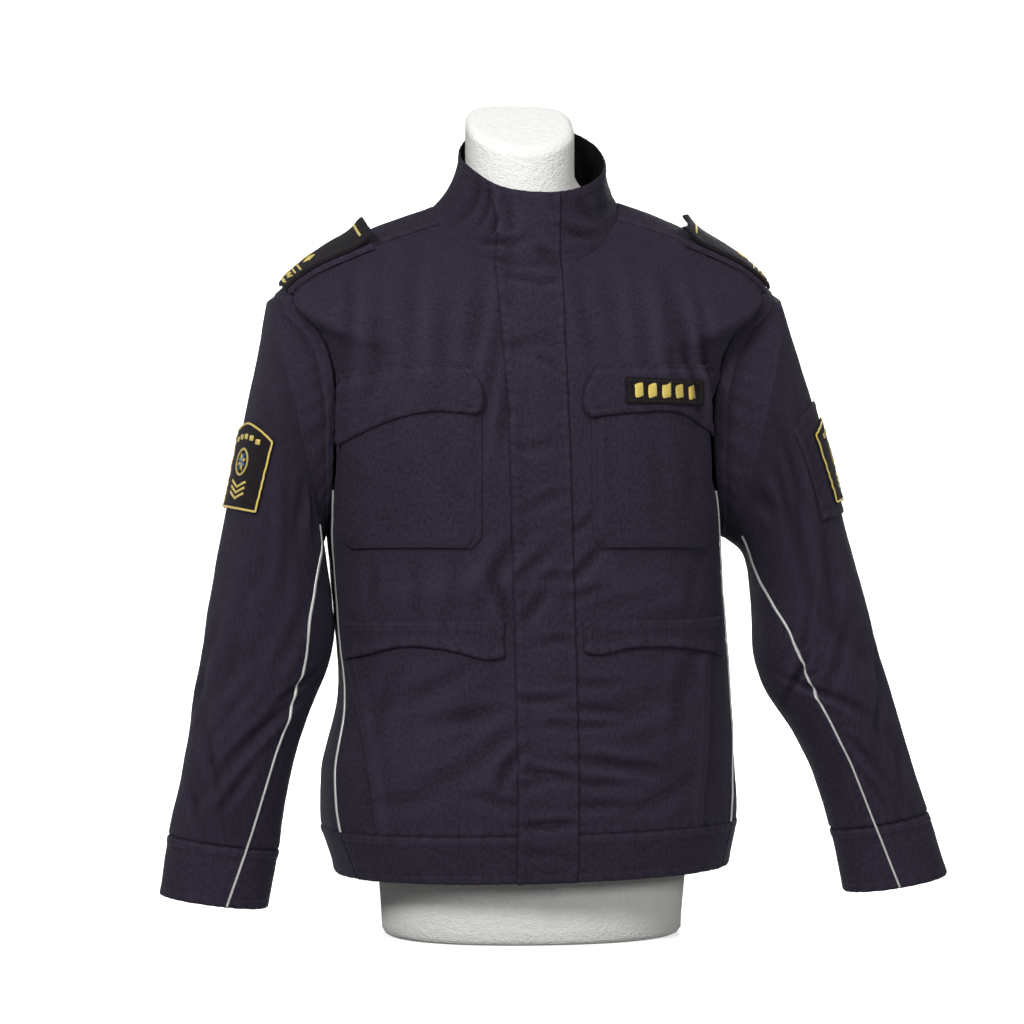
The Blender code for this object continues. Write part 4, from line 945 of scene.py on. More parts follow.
def cloth_piece(name, points, normals, node, materials, edges="ssss", thick=CLOTH,
                closed=False, lift=0.0, slots=(0, 0), extra=None, sheet=True):
    """A cloth wall over a grid. Each of the four edges is a seam, which dips, or free, which is round.

    Left, right, first and last edge: s is a plain seam, r a seam that its doubled allowance
    raises, f a free edge and n nothing.
    """
    sizes, _ = options()
    distances = edge_distances(points)
    relief = np.zeros(points.shape[:2]) + (0 if extra is None else extra)
    reach = (lengths(points, 0), lengths(points, 0), lengths(points, 1), lengths(points, 1))
    for number, (kind, distance) in enumerate(zip(edges, distances)):
        if closed and number < 2:
            continue
        if kind in "srf":
            along = reach[number] * 2 * np.pi / PUCKER_LENGTH
            wave = np.sin(along + PUCKER_SWAY * np.sin(along * PUCKER_DRIFT + number))
            pucker = wave * np.exp(-((distance / PUCKER_REACH) ** 2))
            relief += PUCKER_RISE * pucker * sizes.crease_depth
        if kind in "sr":
            relief -= SEAM_DIP * np.exp(-((distance / SEAM_WIDTH) ** 2))
        if kind == "r":
            relief += ALLOWANCE_RISE * (1 - step(*ALLOWANCE_END, distance))
        if kind == "f":
            relief -= EDGE_DIP * np.exp(-((distance / EDGE_WIDTH) ** 2))
            relief += FOLD_RISE * (1 - step(*FOLD_END, distance))
    outer = points + normals * (thick / 2 + lift + relief)[..., None]
    inner = points + normals * (lift - thick / 2 + np.zeros_like(relief))[..., None]
    heights = standing_out(points, normals, relief, closed)
    shape = Shape().shell(outer, inner, cloth_places(points, closed), slots, closed, heights=heights)
    item = shape.object(name, materials)
    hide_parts(node)
    if sheet:
        declare_sheet(points, closed=closed)
    return item, outer


def inset_line(points, normals, edge, inset):
    """The line this far inside a grid's edge (l, r, f or b), read along the grid's lines."""
    if edge in "fb":
        points, normals = points.swapaxes(0, 1), normals.swapaxes(0, 1)
    if edge in "rb":
        points, normals = points[:, ::-1], normals[:, ::-1]
    reach = lengths(points, 1)
    index = np.clip((reach < inset).sum(axis=1), 1, reach.shape[1] - 1)
    rows = np.arange(len(points))
    low, high = reach[rows, index - 1], reach[rows, index]
    part = ((inset - low) / (high - low))[:, None]
    line = points[rows, index - 1] * (1 - part) + points[rows, index] * part
    return line, unit(normals[rows, index - 1] * (1 - part) + normals[rows, index] * part)


def resampled(path, normals, count, start=0.0, end=0.0, closed=False):
    """Equal steps along a path, with this much left out at its ends."""
    if closed:
        path, normals = np.concatenate([path, path[:1]]), np.concatenate([normals, normals[:1]])
    reach = np.concatenate([[0], np.cumsum(np.linalg.norm(np.diff(path, axis=0), axis=-1))])
    at = np.linspace(start, reach[-1] - end, count, endpoint=not closed)
    points = np.stack([np.interp(at, reach, path[:, k]) for k in range(3)], axis=-1)
    ways = np.stack([np.interp(at, reach, normals[:, k]) for k in range(3)], axis=-1)
    return points, unit(ways)


class Stitches(Shape):
    """Rows of stitches, each a spindle: two rings of four points between two pointed ends."""

    def row(self, path, normals, start=0.003, end=0.003, closed=False):
        """Stitches at equal steps along the path, sunk a little at their ends."""
        sizes, _ = options()
        if closed:
            path, normals = np.concatenate([path, path[:1]]), np.concatenate([normals, normals[:1]])
        total = np.linalg.norm(np.diff(path, axis=0), axis=-1).sum() - start - end
        count = int(total / sizes.stitch_pitch)
        if count < 2:
            return self
        places, ways = resampled(path, normals, 2 * count + 1, start, end)
        middle, up = places[1::2], ways[1::2]
        along = unit(places[2::2] - places[:-1:2])
        side = np.cross(up, along)
        length, width = sizes.stitch_pitch * 0.74, sizes.thread_width
        corners = [(0, -1), (1, 0), (0, 1), (-1, 0)]
        rings = []
        for share, thin, sink in ((-0.5, 0.15, -0.5), (-0.30, 1, 0.1), (0.30, 1, 0.1), (0.5, 0.15, -0.5)):
            centre = middle + along * length * share + up * width * (0.25 + sink * 0.5)
            ring = [centre + (side * b + up * a) * width * thin / 2 for a, b in corners]
            rings.append(np.stack(ring, axis=1))
        grid = np.stack(rings, axis=1)
        numbers = self.add_points(grid)
        wrapped = np.concatenate([numbers, numbers[:, :, :1]], axis=2)
        quads = [wrapped[:, :-1, :-1], wrapped[:, :-1, 1:], wrapped[:, 1:, 1:], wrapped[:, 1:, :-1]]
        sides = np.stack(quads, axis=-1).reshape(-1, 4)
        ends = np.concatenate([numbers[:, 0, ::-1], numbers[:, -1]])
        faces = np.concatenate([sides, ends])
        self.faces.append(faces)
        self.places.append(np.zeros((len(faces), 4, 2)))
        self.slots.append(np.zeros(len(faces), int))
        return self

    def inside(self, points, normals, edges, insets, start=0.004, end=0.004):
        """Rows this far inside each named edge of a grid."""
        for edge in edges:
            for inset in insets:
                line, ways = inset_line(points, normals, edge, inset)
                self.row(line, ways, start, end)
        return self


def nodes_of(material):
    """The material's nodes, links and main shader."""
    tree = material.node_tree
    return tree.nodes, tree.links, tree.nodes["Principled BSDF"]


def math_node(nodes, links, kind, first, second):
    """A Math node; each input is a socket or a number."""
    node = nodes.new("ShaderNodeMath")
    node.operation = kind
    for socket, value in zip(node.inputs, (first, second)):
        if isinstance(value, (int, float)):
            socket.default_value = value
        else:
            links.new(value, socket)
    return node.outputs[0]


def noise(nodes, links, where, scale, detail=2.0, stretch=(1, 1, 1)):
    """Cloudy noise with this many patches a metre, stretched by a Mapping node."""
    mapping = nodes.new("ShaderNodeMapping")
    mapping.inputs["Scale"].default_value = stretch
    links.new(where, mapping.inputs["Vector"])
    node = nodes.new("ShaderNodeTexNoise")
    node.inputs["Scale"].default_value = scale
    node.inputs["Detail"].default_value = detail
    links.new(mapping.outputs[0], node.inputs["Vector"])
    return node.outputs["Fac"]


def bands(nodes, links, where, pitch, turn):
    """Sine bands this far apart, turned this many degrees on the cloth."""
    mapping = nodes.new("ShaderNodeMapping")
    mapping.inputs["Rotation"].default_value = (0, 0, np.radians(turn))
    links.new(where, mapping.inputs["Vector"])
    node = nodes.new("ShaderNodeTexWave")
    node.inputs["Scale"].default_value = 2 * np.pi / 20 / pitch
    node.inputs["Distortion"].default_value = 0.0
    links.new(mapping.outputs[0], node.inputs["Vector"])
    return node.outputs["Fac"]


def cloth_coordinates(nodes):
    """The piece's own cloth coordinates, in metres."""
    node = nodes.new("ShaderNodeUVMap")
    node.uv_map = "cloth"
    return node.outputs[0]


def object_coordinates(nodes):
    """The place on the object, in metres."""
    return nodes.new("ShaderNodeTexCoord").outputs["Object"]


def tinted(nodes, links, color, amount, low, high):
    """The colour, darker where the amount is 0 and lighter where it is 1."""
    ramp = nodes.new("ShaderNodeMix")
    ramp.data_type = "RGBA"
    ramp.inputs["A"].default_value = (*[channel * low for channel in color], 1)
    ramp.inputs["B"].default_value = (*[channel * high for channel in color], 1)
    links.new(amount, ramp.inputs["Factor"])
    return ramp.outputs["Result"]


def bump(nodes, links, shader, height, distance, strength=1.0):
    """Bump of this height in metres on the shader."""
    node = nodes.new("ShaderNodeBump")
    node.inputs["Strength"].default_value = strength
    node.inputs["Distance"].default_value = distance
    links.new(height, node.inputs["Height"])
    links.new(node.outputs[0], shader.inputs["Normal"])


def new_material(name, roughness, specular=0.3, sheen=0.0, sheen_color=(1, 1, 1), metallic=0.0):
    """An empty material with its even values set on the shader."""
    material = bpy.data.materials.get(name)
    if material:
        return material, False
    material = bpy.data.materials.new(name)
    material.use_nodes = True
    shader = material.node_tree.nodes["Principled BSDF"]
    shader.inputs["Roughness"].default_value = roughness
    shader.inputs["Specular IOR Level"].default_value = specular
    shader.inputs["Sheen Weight"].default_value = sheen
    shader.inputs["Sheen Roughness"].default_value = 0.45
    shader.inputs["Sheen Tint"].default_value = (*sheen_color, 1)
    shader.inputs["Metallic"].default_value = metallic
    return material, True


def twill(name, color, pitch=0.0009, sheen=0.03):
    """Twill: steep diagonal ribs, uneven yarns both ways, a mottled grain and faint cloudy shading, with
    painted shade in the hollows and seams and a painted highlight on the ridges.
    """
    material, new = new_material(name, 0.80, 0.10, sheen, (0.75, 0.72, 0.9))
    if not new:
        return material
    nodes, links, shader = nodes_of(material)
    where = cloth_coordinates(nodes)
    ribs = bands(nodes, links, where, pitch, 27)
    warp = noise(nodes, links, where, 900, 2.0, (1, 0.12, 1))
    weft = noise(nodes, links, where, 900, 2.0, (0.12, 1, 1))
    cloudy = noise(nodes, links, where, 30, 3.0)
    grain = noise(nodes, links, where, 330, 3.0, (1, 0.7, 1))
    yarns = math_node(nodes, links, "ADD", warp, weft)
    amount = math_node(nodes, links, "MULTIPLY_ADD", yarns, 0.35)
    amount.node.inputs[2].default_value = 0.0
    links.new(math_node(nodes, links, "MULTIPLY", cloudy, 0.35), amount.node.inputs[2])
    amount = math_node(nodes, links, "ADD", amount, math_node(nodes, links, "MULTIPLY", ribs, 0.15))
    uneven = math_node(nodes, links, "MULTIPLY", math_node(nodes, links, "SUBTRACT", grain, 0.5), 1.6)
    amount = math_node(nodes, links, "ADD", amount, uneven)
    # Painted shade and highlight: the colour is darker where the cloth sinks into a crease or seam and
    # lighter where it stands out on a ridge.
    height = nodes.new("ShaderNodeAttribute")
    height.attribute_name = "relief"
    painted_crease_light = math_node(nodes, links, "MULTIPLY", height.outputs["Fac"], 0.45)
    amount = math_node(nodes, links, "ADD", amount, painted_crease_light)
    links.new(tinted(nodes, links, color, amount, 0.50, 1.50), shader.inputs["Base Color"])
    height = math_node(nodes, links, "ADD", ribs, math_node(nodes, links, "MULTIPLY", yarns, 0.8))
    height = math_node(nodes, links, "ADD", height, math_node(nodes, links, "MULTIPLY", grain, 3.0))
    bump(nodes, links, shader, height, 0.00014)
    return material


def thread(name, color, pitch=0.0005, roughness=0.5, metallic=0.0, sheen=0.1):
    """Satin thread: fine ridges across the cloth coordinates' first way, uneven in colour."""
    material, new = new_material(name, roughness, 0.4, sheen, (1, 1, 1), metallic)
    if not new:
        return material
    nodes, links, shader = nodes_of(material)
    where = cloth_coordinates(nodes)
    ridges = bands(nodes, links, where, pitch, 0)
    uneven = noise(nodes, links, object_coordinates(nodes), 700)
    amount = math_node(nodes, links, "ADD", math_node(nodes, links, "MULTIPLY", ridges, 0.5),
                       math_node(nodes, links, "MULTIPLY", uneven, 0.5))
    links.new(tinted(nodes, links, color, amount, 0.55, 1.35), shader.inputs["Base Color"])
    bump(nodes, links, shader, ridges, 0.00015)
    return material


def sewing_thread(name, color):
    """Matt sewing thread, a little uneven."""
    material, new = new_material(name, 0.7, 0.3, 0.1)
    if not new:
        return material
    nodes, links, shader = nodes_of(material)
    uneven = noise(nodes, links, object_coordinates(nodes), 900)
    links.new(tinted(nodes, links, color, uneven, 0.7, 1.3), shader.inputs["Base Color"])
    bump(nodes, links, shader, uneven, 0.00008)
    return material


def reflective(name, color):
    """Reflective piping: a silvery film of fine glass beads, a little soiled in patches."""
    material, new = new_material(name, 0.38, 0.5, 0.0, (1, 1, 1), 0.25)
    if not new:
        return material
    nodes, links, shader = nodes_of(material)
    where = object_coordinates(nodes)
    beads = noise(nodes, links, where, 2600, 1.0)
    soiled = noise(nodes, links, where, 60, 3.0)
    amount = math_node(nodes, links, "ADD", math_node(nodes, links, "MULTIPLY", beads, 0.5),
                       math_node(nodes, links, "MULTIPLY", soiled, 0.5))
    links.new(tinted(nodes, links, color, amount, 0.7, 1.25), shader.inputs["Base Color"])
    bump(nodes, links, shader, beads, 0.00006)
    return material


def jersey(name, color):
    """Jersey: short bumps of knit in rows, wider than they are high, and a little uneven in colour."""
    material, new = new_material(name, 0.9, 0.10, 0.05)
    if not new:
        return material
    nodes, links, shader = nodes_of(material)
    where = object_coordinates(nodes)
    knit = noise(nodes, links, where, 460, 1.0, (1, 1, 1.8))
    uneven = noise(nodes, links, where, 200, 3.0)
    links.new(tinted(nodes, links, color, uneven, 0.93, 1.04), shader.inputs["Base Color"])
    bump(nodes, links, shader, math_node(nodes, links, "ADD", knit, uneven), 0.0012)
    return material


def materials():
    """All the materials by name, made once."""
    _, colors = options()
    return {
        "navy": twill("navy_twill", colors.navy),
        "inside": twill("navy_wrong_side", [channel * 0.7 for channel in colors.navy], 0.0012, 0.0),
        "black": twill("black_felt", colors.black, 0.0007, 0.05),
        "lining": twill("collar_lining", [channel * 0.6 for channel in colors.black], 0.0012, 0.0),
        "sewing": sewing_thread("navy_sewing_thread", [channel * 1.3 for channel in colors.navy]),
        "gold": thread("gold_thread", colors.gold, 0.0006, 0.42, 0.15),
        "blue": thread("blue_thread", colors.blue, 0.0006, 0.5),
        "silver": reflective("reflective_film", colors.silver),
        "jersey": jersey("white_jersey", colors.jersey),
    }


def grid_count(length):
    """How many grid places a stretch of this length takes."""
    sizes, _ = options()
    return max(4, int(length / sizes.fineness) + 1)


def armhole_edge_depth(level):
    """The armhole's depth at this level, read along its front half."""
    along = np.linspace(SIDE_SEAM_ALONG, 0, 120)
    levels = smooth(ARMHOLE, "along", "level", along)
    return np.interp(level, levels, smooth(ARMHOLE, "along", "depth", along))


SIDE_TOP = float(smooth(ARMHOLE, "along", "level", SIDE_SEAM_ALONG))


def panel_edge(level, side, ahead):
    """The outer edge of a front or of the back: the side seam, the armhole, then the yoke seam."""
    seam = smooth(SIDE_SEAM, "level", "depth", np.minimum(level, SIDE_TOP))
    shoulder = smooth(YOKE_SEAM, "level", "depth", np.clip(level, YOKE_LEVEL, NECK_LEVEL))
    above = np.where(level < YOKE_LEVEL, armhole_edge_depth(level), shoulder)
    depth = np.where(level < SIDE_TOP, seam, above)
    return angle_at_depth(depth if ahead else -depth, level, side)


def side_seam_angle(level, side, ahead):
    """The seam before the side of the body, or the one behind it."""
    depth = smooth(SIDE_SEAM, "level", "depth", level)
    return angle_at_depth(depth if ahead else -depth, level, side)


def add_stitches(name, stitches, paint="sewing"):
    """The stitches gathered for one region as an object."""
    item = stitches.object(name, [materials()[paint]])
    return item


def make_fronts():
    """The two fronts: from the middle under the fly to the side seam, armhole and yoke seam."""
    paint = materials()
    stitches = Stitches()
    for name, side in SIDES:
        levels = HEM_SEAM + (NECK_LEVEL - HEM_SEAM) * crowded(grid_count(0.63), 0.3)
        middle = angle_at_x(smooth(PLACKET, "level", "middle", levels), levels)
        angle = spread(middle, panel_edge(levels, side, True), crowded(grid_count(0.21)))
        level = np.broadcast_to(levels[:, None], angle.shape)
        points, normals = torso(angle, level)
        _, outer = cloth_piece("cloth_front_" + name, points, normals, "front_" + name,
                               [paint["navy"], paint["inside"]], "nssn", slots=(0, 1))
        stitches.inside(outer, normals, "b", (0.0020,), 0.030, 0.004)
        seam_z = np.linspace(0.120, 0.290, 80)
        seam_x = smooth(HAND_POCKETS[side], "z", "x", seam_z)
        for inset in (0.0018, 0.0078):
            place = place_on_front(seam_x - side * inset, seam_z)
            line, ways = torso(*place, extra=HALF + 0.0002)
            stitches.row(line, ways)
    add_stitches("stitches_fronts", stitches)


def make_side_panels():
    """The panels under the arms, whose top edge follows the armhole's lowest part."""
    paint = materials()
    for name, side in SIDES:
        half = np.linspace(SIDE_SEAM_ALONG, 1, grid_count(0.09))
        steps = np.concatenate([half, half[-2::-1]])
        ahead = np.concatenate([np.ones(len(half) - 1), [0.0], -np.ones(len(half) - 1)])
        top_level = smooth(ARMHOLE, "along", "level", steps)
        top_angle = angle_at_depth(smooth(ARMHOLE, "along", "depth", steps) * ahead, top_level, side)
        front, rear = side_seam_angle(top_level, side, True), side_seam_angle(top_level, side, False)
        share = (top_angle - front) / (rear - front)
        rising = crowded(grid_count(0.33), 0.3)
        level = HEM_SEAM + (top_level[None, :] - HEM_SEAM) * rising[:, None]
        front, rear = side_seam_angle(level, side, True), side_seam_angle(level, side, False)
        points, normals = torso(front + (rear - front) * share[None, :], level)
        cloth_piece("cloth_side_panel_" + name, points, normals, "side_panel_" + name,
                    [paint["navy"], paint["inside"]], "ssss", slots=(0, 1))


def make_back():
    """The back between the side seams and armholes, and the yoke over both shoulders."""
    paint = materials()
    stitches = Stitches()
    levels = HEM_SEAM + (YOKE_LEVEL - HEM_SEAM) * crowded(grid_count(0.50), 0.3)
    left, right = panel_edge(levels, LEFT, False), panel_edge(levels, RIGHT, False) + 2 * np.pi
    angle = spread(left, right, crowded(grid_count(0.42), 0.4))
    points, normals = torso(angle, np.broadcast_to(levels[:, None], angle.shape))
    _, outer = cloth_piece("cloth_back", points, normals, "back",
                           [paint["navy"], paint["inside"]], "ssss", slots=(0, 1))
    stitches.inside(outer, normals, "lr", (0.0020, 0.0078))
    levels = YOKE_LEVEL + 0.0006 + (NECK_LEVEL - 0.0016 - YOKE_LEVEL) * crowded(grid_count(0.17), 0.4)
    depth = smooth(YOKE_SEAM, "level", "depth", levels)
    left, right = angle_at_depth(depth, levels, LEFT), angle_at_depth(depth, levels, RIGHT) + 2 * np.pi
    angle = spread(left, right, crowded(grid_count(0.55), 0.3))
    points, normals = torso(angle, np.broadcast_to(levels[:, None], angle.shape))
    _, outer = cloth_piece("cloth_yoke", points, normals, "yoke",
                           [paint["navy"], paint["inside"]], "rrss", slots=(0, 1))
    stitches.inside(outer, normals, "lr", (0.0018, 0.0070), 0.006, 0.006)
    line, ways = inset_line(outer, normals, "f", 0.0022)
    keep = line[:, 1] > 0.055
    stitches.row(line[keep], ways[keep])
    add_stitches("stitches_back", stitches)


def make_hem():
    """The doubled band below the hem seam: two fronts, two sides with their tabs, and the back."""
    paint = materials()
    stitches = Stitches()
    levels = HEM_LEVEL + (HEM_SEAM - HEM_LEVEL) * crowded(grid_count(0.05) + 4)
    spans = {}
    for name, side in SIDES:
        front, rear = side_seam_angle(levels, side, True), side_seam_angle(levels, side, False)
        middle = angle_at_x(smooth(PLACKET, "level", "middle", levels), levels)
        spans["hem_front_" + name] = (middle, front, 0.19, "nsfr")
        spans["hem_side_" + name] = (front, rear, 0.17, "ssfr")
    left = side_seam_angle(levels, LEFT, False)
    right = side_seam_angle(levels, RIGHT, False) + 2 * np.pi
    spans["hem_back"] = (left, right, 0.46, "ssfr")
    for node, (start, end, length, edges) in spans.items():
        angle = spread(start, end, crowded(grid_count(length), 0.5))
        level = np.broadcast_to(levels[:, None], angle.shape)
        points, normals = torso(angle, level)
        _, outer = cloth_piece("cloth_" + node, points, normals, node, [paint["navy"], paint["inside"]],
                               edges, slots=(0, 1), extra=HEM_PROUD)
        stitches.inside(outer, normals, "b", (0.0016, 0.0076), 0.0, 0.0)
        stitches.inside(outer, normals, "f", (0.0070,), 0.0, 0.0)
        if "side" in node:
            stitches.inside(outer, normals, "lr", (0.0020,))
    add_stitches("stitches_hem", stitches)


def make_collar():
    """The stand collar: navy outside, black inside, with a row of stitches along each edge."""
    paint = materials()
    turns = 0.002 + (2 * np.pi - 0.004) * np.linspace(0, 1, grid_count(0.55))
    angle, part = np.meshgrid(turns, (1 + COLLAR_UNDER) * crowded(grid_count(0.085) + 5) - COLLAR_UNDER)
    points, normals = collar(angle, part)
    _, outer = cloth_piece("cloth_collar", points, normals, "collar", [paint["navy"], paint["lining"]],
                           "nnnf", slots=(0, 1))
    stitches = Stitches().inside(outer, normals, "f", (0.0055,), 0.035, 0.035)
    stitches.inside(outer, normals, "b", (0.0065,), 0.035, 0.035)
    add_stitches("stitches_collar", stitches)


def make_placket():
    """The fly over the front opening, free at its right edge and sewn down at its left one."""
    paint = materials()
    sizes, _ = options()
    across = crowded(grid_count(PLACKET["width"][0]) + 8) - 0.5
    levels = np.linspace(HEM_LEVEL, NECK_LEVEL - 0.004, grid_count(0.66))
    middle, width = (smooth(PLACKET, "level", column, levels)[:, None] for column in ("middle", "width"))
    x = middle + across * width
    level = np.broadcast_to(levels[:, None], x.shape)
    angle = angle_at_x(x, level)
    free_edge = FLY_EDGE_RISE * (1 - step(0, 0.010, (across + 0.5) * width[0]))[None, :]
    own = creases(PLACKET_CREASES, x, plain_torso(angle, level)[..., 2]) * sizes.crease_depth + free_edge
    body, body_normal = torso(angle, level, own)
    neck_angle = angle_at_x(x[-1], levels[-1:].repeat(len(across)))
    turn, part = np.meshgrid(neck_angle, np.linspace(PLACKET_ON_COLLAR, 1, grid_count(0.075)))
    turn = turn - PLACKET_FLARE * part * (0.5 - across)
    neck_x, neck_z = collar_surface(turn, part)[..., 0], collar_surface(turn, part)[..., 2]
    own = creases(PLACKET_CREASES, neck_x, neck_z) * sizes.crease_depth * (1 - part) + free_edge
    neck, neck_normal = collar(turn, part, own)
    points = np.concatenate([body, neck])
    normals = np.concatenate([body_normal, neck_normal])
    lift = HALF + PLACKET_LIFT + PATCH / 2
    item, outer = cloth_piece("cloth_placket", points, normals, "placket", [paint["navy"], paint["inside"]],
                              "fsff", PATCH, slots=(0, 1), lift=lift)
    stitches = Stitches().inside(outer, normals, "r", (0.0022,))
    stitches.inside(outer, normals, "b", (0.0060,), 0.004, 0.004)
    add_stitches("stitches_placket", stitches)


def laid(x, z):
    """Points and normals of the front's cloth under a patch."""
    return torso(*place_on_front(x, z))


def make_chest_pockets():
    """The bellows pockets: a flat face that stands up from its folded side and lower edge."""
    paint = materials()
    stitches = Stitches()
    for name, side in SIDES:
        across, down = np.meshgrid(crowded(grid_count(0.14) + 8), crowded(grid_count(0.16) + 8))
        corner = 0.010 * np.clip((down - 0.9) / 0.1, 0, 1) ** 2
        inner_x = POCKET_INNER_X[side] + corner
        x = inner_x + (POCKET_OUTER_X[side] - corner - inner_x) * across
        z = POCKET_TOP + (POCKET_BOTTOM - POCKET_TOP) * down
        points, normals = laid(side * x, z)
        left, right, _, bottom = edge_distances(points)
        gusset = step(0, 0.0015, left) * 0.0014 + step(0.0078, 0.0092, left) * 0.0018
        shape = np.minimum(gusset, step(0, 0.0024, bottom) * 0.0032)
        shape = np.minimum(shape, step(0, 0.0024, right) * 0.0032)
        lift = HALF + LAID_GAP
        outer = points + normals * (lift + np.maximum(shape, 0.0003))[..., None]
        inner = points + normals * lift
        item = Shape().shell(outer, inner, cloth_places(points), rim=0.2).object(
            "cloth_chest_pocket_" + name, [paint["navy"]])
        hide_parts("chest_pocket_" + name)
        declare_sheet(points)
        stitches.inside(outer, normals, "l", (0.0104,), 0.0, 0.012)
        stitches.inside(outer, normals, "b", (0.0040,), 0.012, 0.012)
    add_stitches("stitches_pockets", stitches)


def flap_lift(down):
    """The chest flap's step: sewn on low, then out over the pocket's top."""
    sewn = 1.3 * LAID_GAP
    return HALF + sewn + (FLAP_ON_POCKET - sewn) * step(0.05, 0.17, down)


def make_chest_flaps():
    """The chest flaps, with two rows of stitches under their sewn top edge."""
    paint = materials()
    stitches = Stitches()
    for name, side in SIDES:
        across, down = np.meshgrid(crowded(grid_count(0.14) + 8), crowded(grid_count(0.06) + 8))
        inner_x = FLAP_INNER_X[side] + smooth(FLAP_SLANT, "down", "inset", down)
        x = inner_x + (POCKET_OUTER_X[side] + 0.002 - inner_x) * across
        top = FLAP_TOP + smooth(FLAP_EDGES[side], "part", "top", across)
        z = top + (smooth(FLAP_EDGES[side], "part", "bottom", across) - top) * down
        points, normals = laid(side * x, z)
        points = points + normals * (flap_lift(down) + PATCH / 2)[..., None]
        item, outer = cloth_piece("cloth_chest_flap_" + name, points, normals, "chest_flap_" + name,
                                  [paint["navy"]], "ffff", PATCH)
        stitches.inside(outer, normals, "f", (0.0016, 0.0072))
        stitches.inside(outer, normals, "b", (0.0060,), 0.006, 0.003)
    add_stitches("stitches_chest_flaps", stitches)


def make_lower_flaps():
    """The lower pockets' flaps, whose lower edge bows up in the middle."""
    paint = materials()
    stitches = Stitches()
    for name, side in SIDES:
        rows = LOWER_FLAPS[side]
        across, down = np.meshgrid(crowded(grid_count(0.18) + 10), crowded(grid_count(0.04) + 8))
        top, bottom = smooth(rows, "part", "top", across), smooth(rows, "part", "bottom", across)
        x = smooth(rows, "part", "x", across)
        points, normals = laid(side * x, top + (bottom - top) * down)
        proud = 0.0012 * step(0.3, 1.0, down)
        points = points + normals * (HALF + LAID_GAP + PATCH / 2 + proud)[..., None]
        item, outer = cloth_piece("cloth_lower_flap_" + name, points, normals, "lower_flap_" + name,
                                  [paint["navy"]], "ffff", PATCH)
        stitches.inside(outer, normals, "f", (0.0016, 0.0072))
        stitches.inside(outer, normals, "l", (0.0050,), 0.004, 0.008)
    add_stitches("stitches_lower_flaps", stitches)


def make_sleeves():
    """The two-piece sleeves, the bands round the armholes and the cuffs."""
    paint = materials()
    pair = [paint["navy"], paint["inside"]]
    stitches = Stitches()
    for name, side in SIDES:
        rings = 1 + (CUFF_RING - 1.012) * crowded(grid_count(0.52), 0.3)
        front, back = front_seam(side, rings), np.full(len(rings), BACK_SEAM)
        for piece, start, end, length in (("sleeve_upper_", back, front, 0.28),
                                          ("sleeve_under_", front, back + 2 * np.pi, 0.12)):
            turn = spread(start, end, crowded(grid_count(length)))
            ring = np.broadcast_to(rings[:, None], turn.shape)
            points, normals = sleeve(side, ring, turn)
            _, outer = cloth_piece("cloth_" + piece + name, points, normals, piece + name, pair,
                                   "ssns", slots=(0, 1))
            if piece == "sleeve_upper_":
                stitches.inside(outer, normals, "l", (0.0018, 0.0075))
        turns = np.linspace(-np.pi, np.pi, grid_count(0.50) + 40)[:-1]
        turn, ring = np.meshgrid(turns, crowded(22))
        points, normals = sleeve(side, ring, turn)
        from_seam = edge_distances(points)[2]
        band = BAND_RISE * (1 - step(BAND_WIDTH - 0.001, BAND_WIDTH + 0.001, from_seam))
        _, outer = cloth_piece("cloth_armhole_band_" + name, points, normals, "armhole_band_" + name, pair,
                               "nnsn", slots=(0, 1), closed=True, extra=band)
        stitches.inside(outer, normals, "f", (0.0022, BAND_WIDTH - 0.002))
        turns = np.linspace(0, 2 * np.pi, grid_count(0.33))[:-1]
        turn, ring = np.meshgrid(turns, CUFF_RING + 0.012 + 0.988 * crowded(grid_count(0.066) + 6))
        points, normals = sleeve(side, ring, turn)
        _, outer = cloth_piece("cloth_cuff_" + name, points, normals, "cuff_" + name, pair,
                               "nnrf", slots=(0, 1), closed=True, extra=np.zeros(turn.shape))
        stitches.inside(outer, normals, "f", (0.0018, 0.0075))
        stitches.inside(outer, normals, "b", (0.0080,))
    add_stitches("stitches_sleeves", stitches)


def piping_piece(name, node, surface, across, down):
    """A half-round strip along a seam: it rises as a circle does from its two edges."""
    paint = materials()
    points, normals = surface(0.0)
    rise = PIPING_HEIGHT * np.sqrt(np.clip(1 - across**2, 0, 1))
    base = HALF + 0.0003
    outer = points + normals * (base + rise)[..., None]
    inner = points + normals * (base - 0.0002)
    item = Shape().shell(outer, inner, cloth_places(points), rim=0.0).object(name, [paint["silver"]], 80)
    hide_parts(node)
    return item


def make_piping():
    """The reflective piping in the side seams and down the sleeves' front seams."""
    shares = np.sin(np.linspace(-np.pi / 2, np.pi / 2, 9))
    for name, side in SIDES:
        levels = np.linspace(HEM_SEAM + 0.0003, SIDE_TOP - 0.008, grid_count(0.35))
        level, share = np.meshgrid(levels, shares, indexing="ij")
        seam = side_seam_angle(level, side, True)
        speed = np.linalg.norm(plain_torso(seam + 0.004, level) - plain_torso(seam - 0.004, level), axis=-1)
        angle = seam + side * share * PIPING_WIDTH / 2 * 0.008 / speed
        piping_piece("piping_side_seam_" + name, "piping_body_" + name,
                     lambda extra, a=angle, b=level: torso(a, b, extra), share, level)
        rings = np.linspace(1.5, CUFF_END - 0.01, grid_count(0.60))
        ring, share = np.meshgrid(rings, shares, indexing="ij")
        turn = front_seam(side, ring) + share * PIPING_WIDTH / 2 / SLEEVE_RADIUS
        piping_piece("piping_sleeve_seam_" + name, "piping_sleeve_" + name,
                     lambda extra, s=side, a=ring, b=turn: sleeve(s, a, b, extra), share, ring)


def ring_at_height(side, height, turn):
    """The ring at this height square to the leaning sleeve, by repeated correction."""
    ring = np.full(np.shape(turn), 4.0)
    for _ in range(30):
        place = plain_sleeve(side, ring, turn)
        ring = ring + (place[..., 2] - side * place[..., 0] * SLEEVE_LEAN[side] - height) / 0.07
    return ring


